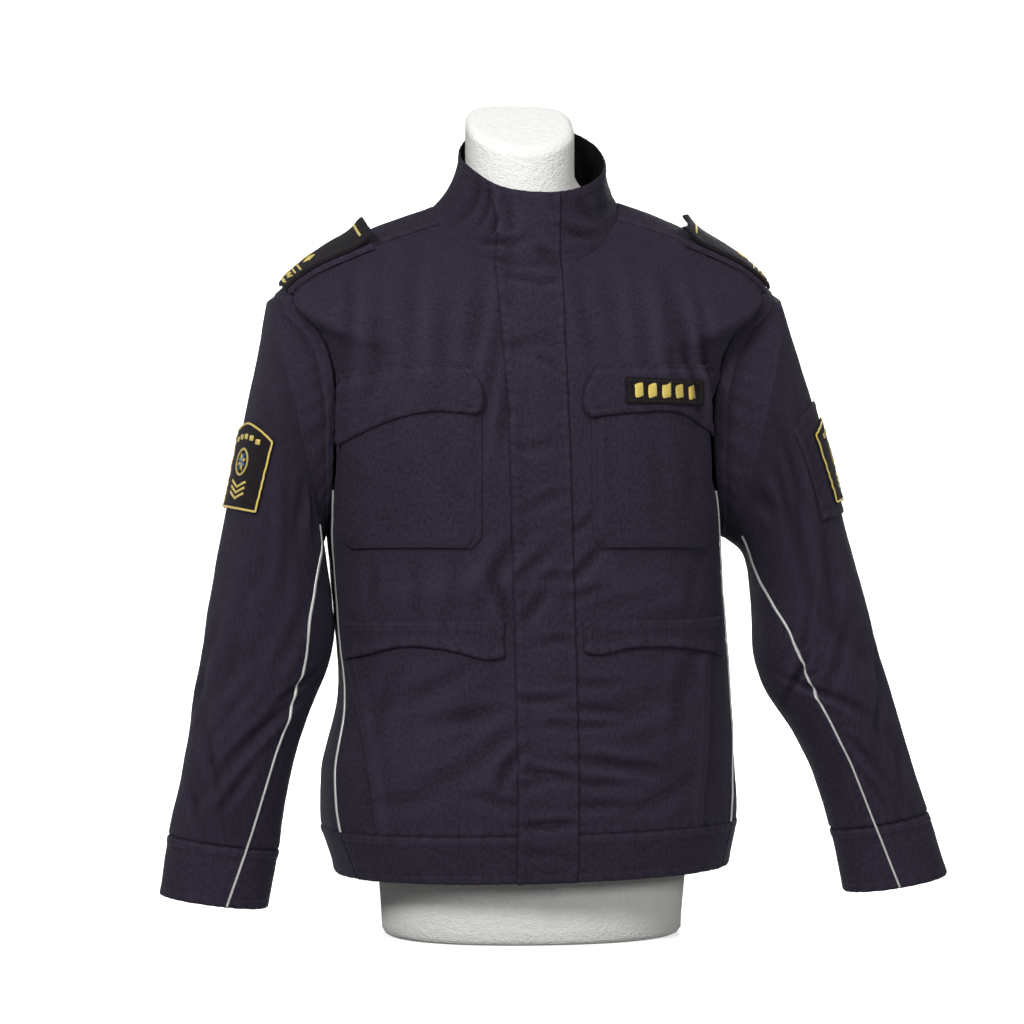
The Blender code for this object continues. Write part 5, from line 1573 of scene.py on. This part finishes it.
def shield(side, place, rows, columns):
    """A shield's grid: a foot, sides that draw in towards it, and a top that rises in an arch."""
    middle, half_turn, foot, top, drop = place
    across, down = np.meshgrid(2 * crowded(columns) - 1, crowded(rows))
    edge = top - drop * np.abs(across) ** BADGE_ROUNDNESS
    turn = np.radians(middle + half_turn * across * (1 - BADGE_NARROWING * down))
    return ring_at_height(side, edge + (foot - edge) * down, turn), turn


def outline(points, normals, inset):
    """The closed line this far inside a grid's four edges, for a border."""
    parts = [inset_line(points, normals, edge, inset) for edge in "lbrf"]
    lines, ways = zip(*parts)
    order = [slice(2, -2), slice(2, -2), slice(-3, 1, -1), slice(-3, 1, -1)]
    line = np.concatenate([line[cut] for line, cut in zip(lines, order)])
    way = np.concatenate([way[cut] for way, cut in zip(ways, order)])
    return line, way


def cord_along(shape, path, normals, width, height, steps, slot=0, sides=8, closed=True):
    """A flattened round cord along a path, with thread ridges along its length."""
    path, normals = resampled(path, normals, steps, closed=closed)
    if closed:
        along = unit(np.roll(path, -1, axis=0) - np.roll(path, 1, axis=0))
    else:
        along = unit(np.gradient(path, axis=0))
    side = np.cross(normals, along)
    turn = np.arange(sides) * 2 * np.pi / sides
    ring = side[:, None] * np.cos(turn)[None, :, None] * width / 2
    ring = ring + normals[:, None] * np.sin(turn)[None, :, None] * height / 2
    grid = path[:, None] + ring
    numbers = shape.add_points(grid)
    numbers = np.concatenate([numbers, numbers[:, :1]], axis=1)
    if closed:
        numbers = np.concatenate([numbers, numbers[:1]], axis=0)
    reach = np.linspace(0, np.linalg.norm(np.diff(path, axis=0), axis=-1).sum(), numbers.shape[0])
    places = np.stack(np.meshgrid(reach, np.linspace(0, width, sides + 1), indexing="ij"), axis=-1)
    shape.quads(numbers, places, slot)
    if not closed:
        for end in (numbers[0, :-1], numbers[-1, :-1][::-1]):
            quad = np.stack([end[:4], end[[4, 5, 6, 7]][::-1]])
            shape.quads(quad, np.zeros((2, 4, 2)), slot)
    return shape


def pillow(shape, place, length, width, turn=0.0, centre=(0.0, 0.0), height=0.0008, slot=0,
           taper=0.0, skew=0.0):
    """A satin-stitched bar: flat coordinates along and across it, raised as a low cushion.

    Its width shrinks by `taper` towards its ends, so that a taper of 1 gives a lozenge.
    """
    along, across = np.meshgrid(np.linspace(-1, 1, 9), np.linspace(-1, 1, 7))
    wide = 1 - taper * np.abs(along)
    first = along * length / 2 + skew * across * width / 2
    second = across * width / 2 * wide
    right = centre[0] + first * np.cos(turn) - second * np.sin(turn)
    up = centre[1] + first * np.sin(turn) + second * np.cos(turn)
    points, normals = place(right, up)
    rise = height * np.sqrt(np.clip(1 - across**4, 0, 1)) * np.clip(1 - along**8, 0.1, 1)
    outer, inner = points + normals * rise[..., None], points - normals * 0.0002
    return shape.shell(outer, inner, np.stack([first, second], axis=-1), (slot, slot), rim=0.0)


def disc(shape, place, radius, hole=0.0, centre=(0.0, 0.0), height=0.0008, slot=0):
    """A satin-stitched disc or ring, raised in the middle of its width."""
    turn = np.linspace(0, 2 * np.pi, 33)[:-1]
    share = np.linspace(0, 1, 6)
    far, around_it = np.meshgrid(np.maximum(hole, 1e-5) + (radius - hole) * share, turn, indexing="ij")
    points, normals = place(centre[0] + far * np.cos(around_it), centre[1] + far * np.sin(around_it))
    lump = 1 - (2 * share - 1) ** 4 if hole else 1 - share**4
    rise = (height * np.clip(lump, 0.05, 1))[:, None, None]
    outer, inner = points + normals * rise, points - normals * 0.0002
    places = np.stack(np.meshgrid(share * radius, np.linspace(0, 2 * np.pi * radius, 33), indexing="ij"), -1)
    return shape.shell(outer, inner, places, (slot, slot), closed=True, rim=0.0)


def badge_place(side, lift):
    """A badge's flat coordinates: metres forwards and up from the shield's middle."""
    middle, _, foot, top, _ = BADGE_PLACES[side]

    def place(forward, up):
        turn = np.radians(middle) + np.asarray(forward) / BADGE_RADIUS
        points, normals = sleeve(side, ring_at_height(side, (foot + top) / 2 + np.asarray(up), turn), turn)
        return points + normals * lift, normals

    return place


def make_badges():
    """A black shield on each sleeve with a gold border and a plain rosette, bars and chevrons."""
    paint = materials()
    for name, side in SIDES:
        lift = HALF + BADGE_LIFT
        if side == LEFT:
            ring, turn = shield(side, BACKING_PLACE, 48, 44)
            points, normals = sleeve(side, ring, turn)
            _, outer = cloth_piece("cloth_badge_backing_left", points, normals, "badge_backing_left",
                                   [paint["navy"]], "ffff", BACKING_THICK, lift=lift + BACKING_THICK / 2)
            line, ways = outline(outer, normals, 0.003)
            add_stitches("stitches_backing", Stitches().row(line, ways, closed=True))
            lift += BACKING_THICK + LAID_GAP
        ring, turn = shield(side, BADGE_PLACES[side], 44, 40)
        points, normals = sleeve(side, ring, turn)
        item, outer = cloth_piece("felt_sleeve_badge_" + name, points, normals, "sleeve_badge_" + name,
                                  [paint["black"]], "ffff", BADGE_THICK,
                                  lift=lift + BADGE_THICK / 2)
        work = Shape()
        line, ways = outline(outer, normals, 0.0012)
        cord_along(work, line + ways * 0.0003, ways, 0.0024, 0.0018, 160)
        place = badge_place(side, lift + BADGE_THICK)
        for number in range(-2, 3):
            pillow(work, place, 0.0080, 0.0056, 0.0, (number * 0.0128, 0.0310 - 0.0010 * number**2))
        disc(work, place, 0.0150, 0.0122, (0, 0.004))
        for number in range(8):
            turn_by = np.pi / 8 + number * np.pi / 4
            middle = (0.0055 * np.cos(turn_by), 0.004 + 0.0055 * np.sin(turn_by))
            pillow(work, place, 0.0094, 0.0038, turn_by, middle, slot=number % 2, taper=1.0)
        for number in range(3):
            for way in (-1, 1):
                pillow(work, place, 0.0185, 0.0028, way * 0.38, (way * 0.0084, -0.0195 - number * 0.0060))
        border = work.object("thread_sleeve_badge_" + name, [paint["gold"], paint["blue"]])


def make_name_tape():
    """The black tape on the left chest flap, with a sewn edge and five plain gold bars."""
    paint = materials()
    flap_part = 0.5
    base = float(flap_lift(np.array(flap_part))) + PATCH + LAID_GAP * 1.4
    across, down = np.meshgrid(crowded(grid_count(0.09)), crowded(14))
    x = TAPE_X[0] + (TAPE_X[1] - TAPE_X[0]) * across
    z = TAPE_Z[1] + (TAPE_Z[0] - TAPE_Z[1]) * down
    points, normals = laid(x, z)
    _, outer = cloth_piece("felt_name_tape", points, normals, "name_tape", [paint["black"]], "ffff",
                           TAPE_THICK, lift=base + TAPE_THICK / 2)
    stitches = Stitches().inside(outer, normals, "fb", (0.0028,), 0.003, 0.003)
    stitches.inside(outer, normals, "lr", (0.0028,), 0.003, 0.003)
    add_stitches("stitches_tape", stitches)

    def place(right, up):
        points, normals = laid((TAPE_X[0] + TAPE_X[1]) / 2 + right, np.mean(TAPE_Z) + up)
        return points + normals * (base + TAPE_THICK), normals

    work = Shape()
    for number in range(-2, 3):
        pillow(work, place, 0.0145, 0.0088, np.pi / 2, (number * 0.0138, 0.0), skew=-0.4)
    bars = work.object("thread_name_tape", [paint["gold"]])


def make_shoulders():
    """The shoulder straps along the ridges, and the rank slides with their bars and lozenge."""
    paint = materials()
    stitches = Stitches()
    for name, side in SIDES:
        for piece, depths, levels, low, thick, color, slot, rise in (
            ("shoulder_strap_", STRAP_DEPTH, STRAP_LEVELS, LAID_GAP, STRAP_THICK, "navy", "navy_cloth", 0.0),
            ("rank_slide_", SLIDE_DEPTH, SLIDE_LEVELS, 2 * LAID_GAP + STRAP_THICK, SLIDE_THICK, "black",
             "black_cloth", SLIDE_RISE),
        ):
            across = depths[0] + (depths[1] - depths[0]) * crowded(28)
            along = levels[0] + (levels[1] - levels[0]) * crowded(40, 0.4)
            depth, level = np.meshgrid(across, along)
            start, end = SLIDE_RISE_LEVELS
            lift = HALF + low + thick / 2 + rise * np.clip((level - start) / (end - start), 0, 1) ** 2
            points, normals = torso(angle_at_depth(depth, level, side), level)
            cloth = "felt_" if color == "black" else "cloth_"
            _, outer = cloth_piece(cloth + piece + name, points, normals, piece + name, [paint[color]],
                                   "ffff", thick, lift=lift)
            stitches.inside(outer, normals, "lr", (0.0035,))

        def place(inward, forward, side=side):
            level = SLIDE_LEVELS[0] + np.asarray(inward) / SLIDE_METRES_A_LEVEL
            depth = np.asarray(forward) + (SLIDE_DEPTH[0] + SLIDE_DEPTH[1]) / 2
            start, end = SLIDE_RISE_LEVELS
            lift = HALF + 2 * LAID_GAP + STRAP_THICK + SLIDE_THICK
            lift = lift + SLIDE_RISE * np.clip((level - start) / (end - start), 0, 1) ** 2
            points, normals = torso(angle_at_depth(depth, level, side), level)
            return points + normals * np.asarray(lift)[..., None], normals

        work = Shape()
        pillow(work, place, 0.050, 0.0040, np.pi / 2, (0.0050, 0))
        for number in range(7):
            lean = 0.7 if number % 2 else -0.7
            pillow(work, place, 0.0095, 0.0024, np.pi / 2 + lean, (0.0130, -0.0200 + number * 0.0067))
        for inward in (0.0195, 0.0260):
            pillow(work, place, 0.050, 0.0022, np.pi / 2, (inward, 0))
        pillow(work, place, 0.0150, 0.0120, 0.0, (0.0400, 0.008), 0.0010, taper=1.0)
        pillow(work, place, 0.0120, 0.0080, 0.0, (0.0400, -0.008), 0.0010, taper=1.0)
        pillow(work, place, 0.0420, 0.0022, np.pi / 2, (0.0930, 0))
        bars = work.object("thread_rank_slide_" + name, [paint["gold"]])
    add_stitches("stitches_shoulders", stitches)


def form_ring(angle, level):
    """The form's surface under the cloth: the torso moved in by the table's distances."""
    size = ring_sizes(level)
    share = np.cos(angle) ** 2
    inset = size["form_side"] * (1 - share) + size["form_front"] * share
    return plain_torso(angle, level) - torso_normal(angle, level) * inset[..., None]


def neck_ring(angle, radius, below_top):
    """A ring of the form's neck: round in front, flat behind and parallel to its slanted top."""
    sideways, forward = np.sin(angle), np.cos(angle)
    power = np.where(forward > 0, 2.0, NECK_SQUARE)
    reach = radius * (np.abs(sideways) ** power + np.abs(forward) ** power) ** (-1 / power)
    x, y = sideways * reach, -forward * reach * np.where(forward > 0, 1.0, NECK_BACK / NECK_RADIUS)
    return np.stack([x, y, NECK_TOP_Z + y * NECK_TOP_SLOPE - below_top], axis=-1)


def make_form():
    """The limbless form in white jersey: hips, waist, chest, and a neck with a slanted top."""
    paint = materials()
    angle = np.arange(128) * 2 * np.pi / 128
    levels = np.concatenate([[0.0, 0.002, 0.006], np.linspace(0.012, 0.744, 110)])
    rings = [form_ring(angle, np.full(128, level)) for level in levels]
    for number, share in ((0, 0.96), (1, 0.985), (2, 1.0)):
        rings[number][:, :2] *= share
        rings[number][:, 2] = levels[number]
    shoulder = rings[-1]
    for part in np.linspace(0.08, 0.92, 14):
        ring = neck_ring(angle, NECK_RADIUS, 0.066 - 0.016 * part)
        ring[:, 2] = shoulder[:, 2] + (ring[:, 2] - shoulder[:, 2]) * part**0.8
        ring[:, :2] = shoulder[:, :2] + (ring[:, :2] - shoulder[:, :2]) * (1 - (1 - part) ** 2.2)
        rings.append(ring)
    rings += [neck_ring(angle, NECK_RADIUS, below) for below in np.linspace(0.046, NECK_EDGE, 16)]
    for turn in np.linspace(0.2, np.pi / 2, 7):
        inset, below = NECK_EDGE * (1 - np.cos(turn)), NECK_EDGE * (1 - np.sin(turn))
        rings.append(neck_ring(angle, NECK_RADIUS - inset, below))
    rings += [neck_ring(angle, radius, 0.0) for radius in (0.036, 0.020, 0.006, 0.00001)]
    bottom = rings[0].copy()
    closing = []
    for share in (0.00001, 0.25, 0.6, 0.9):
        ring = bottom.copy()
        ring[:, :2] *= share
        closing.append(ring)
    points = np.stack(closing + rings)
    shape = Shape()
    numbers = shape.add_points(points)
    numbers = np.concatenate([numbers, numbers[:, :1]], axis=1)
    shape.quads(numbers, cloth_places(points, True))
    item = shape.object("dress_form_jersey", [paint["jersey"]], 60)
    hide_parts("dress_form")


def plain_material(name, color, roughness=0.6):
    """An even material for the stage."""
    material, new = new_material(name, roughness, 0.2)
    material.node_tree.nodes["Principled BSDF"].inputs["Base Color"].default_value = (*color, 1)
    return material


def area_light(name, place, target, size, power):
    """A soft square light that faces the target."""
    data = bpy.data.lights.new(name, "AREA")
    data.size, data.energy = size, power
    light = bpy.data.objects.new(name, data)
    bpy.context.scene.collection.objects.link(light)
    way = unit(np.array(target, float) - np.array(place, float))
    light.location = place
    light.rotation_euler = (np.arccos(-way[2]), 0, np.arctan2(way[0], -way[1]) + np.pi)
    return light


def make_stage():
    """A pale sweep from the floor up a wall, soft lights all round and the photograph's camera."""
    scene = bpy.context.scene
    stage = scene.jacket_stage
    turn = np.linspace(0, np.pi / 2, 24)
    floor_y, radius, wall_y = -9.0, 1.6, 4.5
    y = np.concatenate([[floor_y, -2.0, 0.0, 1.5], wall_y - radius + radius * np.sin(turn), [wall_y]])
    z = np.concatenate([[0.0, 0.0, 0.0, 0.0], radius - radius * np.cos(turn), [7.0]])
    x = np.array([-9.0, -3.0, 0.0, 3.0, 9.0])
    points = np.stack([np.broadcast_to(x[None, :], (len(y), 5)), np.broadcast_to(y[:, None], (len(y), 5)),
                       np.broadcast_to(z[:, None], (len(y), 5))], axis=-1)
    mesh = bpy.data.meshes.new("studio_sweep")
    number = np.arange(points[..., 0].size).reshape(len(y), 5)
    quads = np.stack([number[:-1, :-1], number[:-1, 1:], number[1:, 1:], number[1:, :-1]], -1).reshape(-1, 4)
    mesh.from_pydata(points.reshape(-1, 3), [], quads.tolist())
    mesh.shade_smooth()
    paint = plain_material("pale_sweep", stage.floor_color)
    shader = paint.node_tree.nodes["Principled BSDF"]
    shader.inputs["Emission Color"].default_value = (1, 1, 1, 1)
    shader.inputs["Emission Strength"].default_value = stage.sweep_glow
    mesh.materials.append(paint)
    sweep = bpy.data.objects.new("studio_sweep", mesh)
    scene.collection.objects.link(sweep)
    sweep.visible_diffuse = False

    world = bpy.data.worlds.new("studio")
    world.use_nodes = True
    world.node_tree.nodes["Background"].inputs["Color"].default_value = (1, 1, 1, 1)
    world.node_tree.nodes["Background"].inputs["Strength"].default_value = stage.world_light
    scene.world = world
    middle = (0, 0, 0.5)
    area_light("key_left", (-1.8, -2.8, 2.2), middle, 0.8, stage.key_light)
    area_light("key_right", (1.0, -3.3, 1.2), middle, 0.8, stage.side_light)
    area_light("top", (0, -1.5, 3.0), middle, 1.4, stage.top_light)
    area_light("rear", (0.9, 3.0, 1.6), middle, 1.2, stage.rear_light)
    area_light("sweep_light", (0, 2.0, 2.6), (0, 4.5, 0.6), 2.5, stage.sweep_light)

    data = bpy.data.cameras.new("photo_camera")
    data.lens, data.sensor_width = CAMERA_LENS, 36.0
    camera = bpy.data.objects.new("photo_camera", data)
    scene.collection.objects.link(camera)
    sine, cosine = np.sin(CAMERA_TURN), np.cos(CAMERA_TURN)
    camera.location = (-CAMERA_DISTANCE * sine - CAMERA_ASIDE * cosine,
                       -CAMERA_DISTANCE * cosine + CAMERA_ASIDE * sine, CAMERA_HEIGHT)
    camera.rotation_euler = (np.pi / 2, 0, -CAMERA_TURN)
    scene.camera = camera
    scene.view_settings.view_transform = "Standard"


class JacketSizes(bpy.types.PropertyGroup):
    """Sizes of the cloth and its sewing."""

    fineness: bpy.props.FloatProperty(
        name="Grid spacing", description="Distance between the cloth's points",
        default=0.0032, min=0.001, unit="LENGTH")
    crease_depth: bpy.props.FloatProperty(
        name="Crease depth", description="How deep the creases are, as a share of the table's depths",
        default=1.25, min=0.0, max=3.0)
    stitch_pitch: bpy.props.FloatProperty(
        name="Stitch pitch", description="Distance from one stitch to the next",
        default=0.0031, min=0.001, unit="LENGTH")
    thread_width: bpy.props.FloatProperty(
        name="Thread width", description="Width of the sewing thread",
        default=0.00055, min=0.0001, unit="LENGTH")


def color_property(name, description, default):
    """A colour in the sidebar."""
    return bpy.props.FloatVectorProperty(
        name=name, description=description, default=default, subtype="COLOR", size=3, min=0, max=1)


class JacketColors(bpy.types.PropertyGroup):
    """Colours of the jacket and the form."""

    navy: color_property("Navy", "The twill", (0.0231, 0.0181, 0.0315))
    black: color_property("Black", "The slides, badges, tape and the collar's inside", (0.010, 0.008, 0.009))
    gold: color_property("Gold", "The badges' thread", (0.80, 0.62, 0.14))
    blue: color_property("Blue", "The badges' second thread", (0.06, 0.20, 0.50))
    silver: color_property("Silver", "The reflective piping", (0.50, 0.50, 0.49))
    jersey: color_property("Jersey", "The form's cover", (0.93, 0.92, 0.89))


class JacketStage(bpy.types.PropertyGroup):
    """Light and floor."""

    floor_color: color_property("Floor", "The floor and wall", (0.92, 0.92, 0.92))
    world_light: bpy.props.FloatProperty(
        name="World light", description="Strength of the light from all round", default=0.12, min=0)
    key_light: bpy.props.FloatProperty(
        name="Key light", description="Power of the light high on the left",
        default=82.0, min=0, unit="POWER")
    side_light: bpy.props.FloatProperty(
        name="Side light", description="Power of the low light on the right",
        default=34.0, min=0, unit="POWER")
    top_light: bpy.props.FloatProperty(
        name="Top light", description="Power of the light above", default=24.0, min=0, unit="POWER")
    rear_light: bpy.props.FloatProperty(
        name="Rear light", description="Power of the light on the back", default=60.0, min=0, unit="POWER")
    sweep_light: bpy.props.FloatProperty(
        name="Wall light", description="Power of the light on the wall", default=120.0, min=0, unit="POWER")
    sweep_glow: bpy.props.FloatProperty(
        name="Sweep glow", description="How much the pale floor and wall shine by themselves",
        default=0.55, min=0)


class JACKET_OT_form(bpy.types.Operator):
    """Make the form in white jersey"""

    bl_idname = "jacket.form"
    bl_label = "Dress form"

    def execute(self, context):
        make_form()
        return {"FINISHED"}


class JACKET_OT_fronts(bpy.types.Operator):
    """Make both fronts with the hand pockets' seams"""

    bl_idname = "jacket.fronts"
    bl_label = "Fronts"

    def execute(self, context):
        make_fronts()
        return {"FINISHED"}


class JACKET_OT_side_panels(bpy.types.Operator):
    """Make the panels under the arms"""

    bl_idname = "jacket.side_panels"
    bl_label = "Side panels"

    def execute(self, context):
        make_side_panels()
        return {"FINISHED"}


class JACKET_OT_back(bpy.types.Operator):
    """Make the back and the yoke"""

    bl_idname = "jacket.back"
    bl_label = "Back and yoke"

    def execute(self, context):
        make_back()
        return {"FINISHED"}


class JACKET_OT_hem(bpy.types.Operator):
    """Make the five pieces of the hem band"""

    bl_idname = "jacket.hem"
    bl_label = "Hem band"

    def execute(self, context):
        make_hem()
        return {"FINISHED"}


class JACKET_OT_collar(bpy.types.Operator):
    """Make the stand collar"""

    bl_idname = "jacket.collar"
    bl_label = "Collar"

    def execute(self, context):
        make_collar()
        return {"FINISHED"}


class JACKET_OT_placket(bpy.types.Operator):
    """Make the fly over the front opening"""

    bl_idname = "jacket.placket"
    bl_label = "Fly"

    def execute(self, context):
        make_placket()
        return {"FINISHED"}


class JACKET_OT_chest_pockets(bpy.types.Operator):
    """Make the bellows pockets"""

    bl_idname = "jacket.chest_pockets"
    bl_label = "Chest pockets"

    def execute(self, context):
        make_chest_pockets()
        return {"FINISHED"}


class JACKET_OT_chest_flaps(bpy.types.Operator):
    """Make the chest pockets' flaps"""

    bl_idname = "jacket.chest_flaps"
    bl_label = "Chest flaps"

    def execute(self, context):
        make_chest_flaps()
        return {"FINISHED"}


class JACKET_OT_lower_flaps(bpy.types.Operator):
    """Make the lower pockets' flaps"""

    bl_idname = "jacket.lower_flaps"
    bl_label = "Lower flaps"

    def execute(self, context):
        make_lower_flaps()
        return {"FINISHED"}


class JACKET_OT_sleeves(bpy.types.Operator):
    """Make the sleeves, armhole bands and cuffs"""

    bl_idname = "jacket.sleeves"
    bl_label = "Sleeves"

    def execute(self, context):
        make_sleeves()
        return {"FINISHED"}


class JACKET_OT_piping(bpy.types.Operator):
    """Make the reflective piping"""

    bl_idname = "jacket.piping"
    bl_label = "Piping"

    def execute(self, context):
        make_piping()
        return {"FINISHED"}


class JACKET_OT_badges(bpy.types.Operator):
    """Make the badges with their thread work"""

    bl_idname = "jacket.badges"
    bl_label = "Sleeve badges"

    def execute(self, context):
        make_badges()
        return {"FINISHED"}


class JACKET_OT_name_tape(bpy.types.Operator):
    """Make the tape with its plain bars"""

    bl_idname = "jacket.name_tape"
    bl_label = "Name tape"

    def execute(self, context):
        make_name_tape()
        return {"FINISHED"}


class JACKET_OT_shoulders(bpy.types.Operator):
    """Make the straps and the rank slides"""

    bl_idname = "jacket.shoulders"
    bl_label = "Shoulders"

    def execute(self, context):
        make_shoulders()
        return {"FINISHED"}


class JACKET_OT_stage(bpy.types.Operator):
    """Make the floor, the lights and the camera"""

    bl_idname = "jacket.stage"
    bl_label = "Stage"

    def execute(self, context):
        make_stage()
        return {"FINISHED"}


OPERATORS = [
    JACKET_OT_form,
    JACKET_OT_fronts,
    JACKET_OT_side_panels,
    JACKET_OT_back,
    JACKET_OT_hem,
    JACKET_OT_collar,
    JACKET_OT_placket,
    JACKET_OT_chest_pockets,
    JACKET_OT_chest_flaps,
    JACKET_OT_lower_flaps,
    JACKET_OT_sleeves,
    JACKET_OT_piping,
    JACKET_OT_badges,
    JACKET_OT_name_tape,
    JACKET_OT_shoulders,
    JACKET_OT_stage,
]


class JACKET_PT_sidebar(bpy.types.Panel):
    """The jacket's sizes, colours and steps."""

    bl_label = "Uniform jacket"
    bl_idname = "JACKET_PT_sidebar"
    bl_space_type = "VIEW_3D"
    bl_region_type = "UI"
    bl_category = "Jacket"

    def draw(self, context):
        for group in (context.scene.jacket_sizes, context.scene.jacket_colors, context.scene.jacket_stage):
            for name in group.__annotations__:
                self.layout.prop(group, name)
        for operator in OPERATORS:
            self.layout.operator(operator.bl_idname)


GROUPS = {"jacket_sizes": JacketSizes, "jacket_colors": JacketColors, "jacket_stage": JacketStage}


def register():
    """Adds the classes and the scene's settings."""
    for group in (*GROUPS.values(), *OPERATORS, JACKET_PT_sidebar):
        bpy.utils.register_class(group)
    for name, group in GROUPS.items():
        setattr(bpy.types.Scene, name, bpy.props.PointerProperty(type=group))


def unregister():
    """Removes them again."""
    for name in GROUPS:
        delattr(bpy.types.Scene, name)
    for group in reversed((*GROUPS.values(), *OPERATORS, JACKET_PT_sidebar)):
        bpy.utils.unregister_class(group)


def main():
    """Registers the classes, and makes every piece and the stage."""
    register()
    for operator in OPERATORS:
        if getattr(bpy.ops.jacket, operator.bl_idname.split(".")[1])() != {"FINISHED"}:
            raise RuntimeError(operator.bl_label + " wasn't made")


if __name__ == "__main__":
    main()
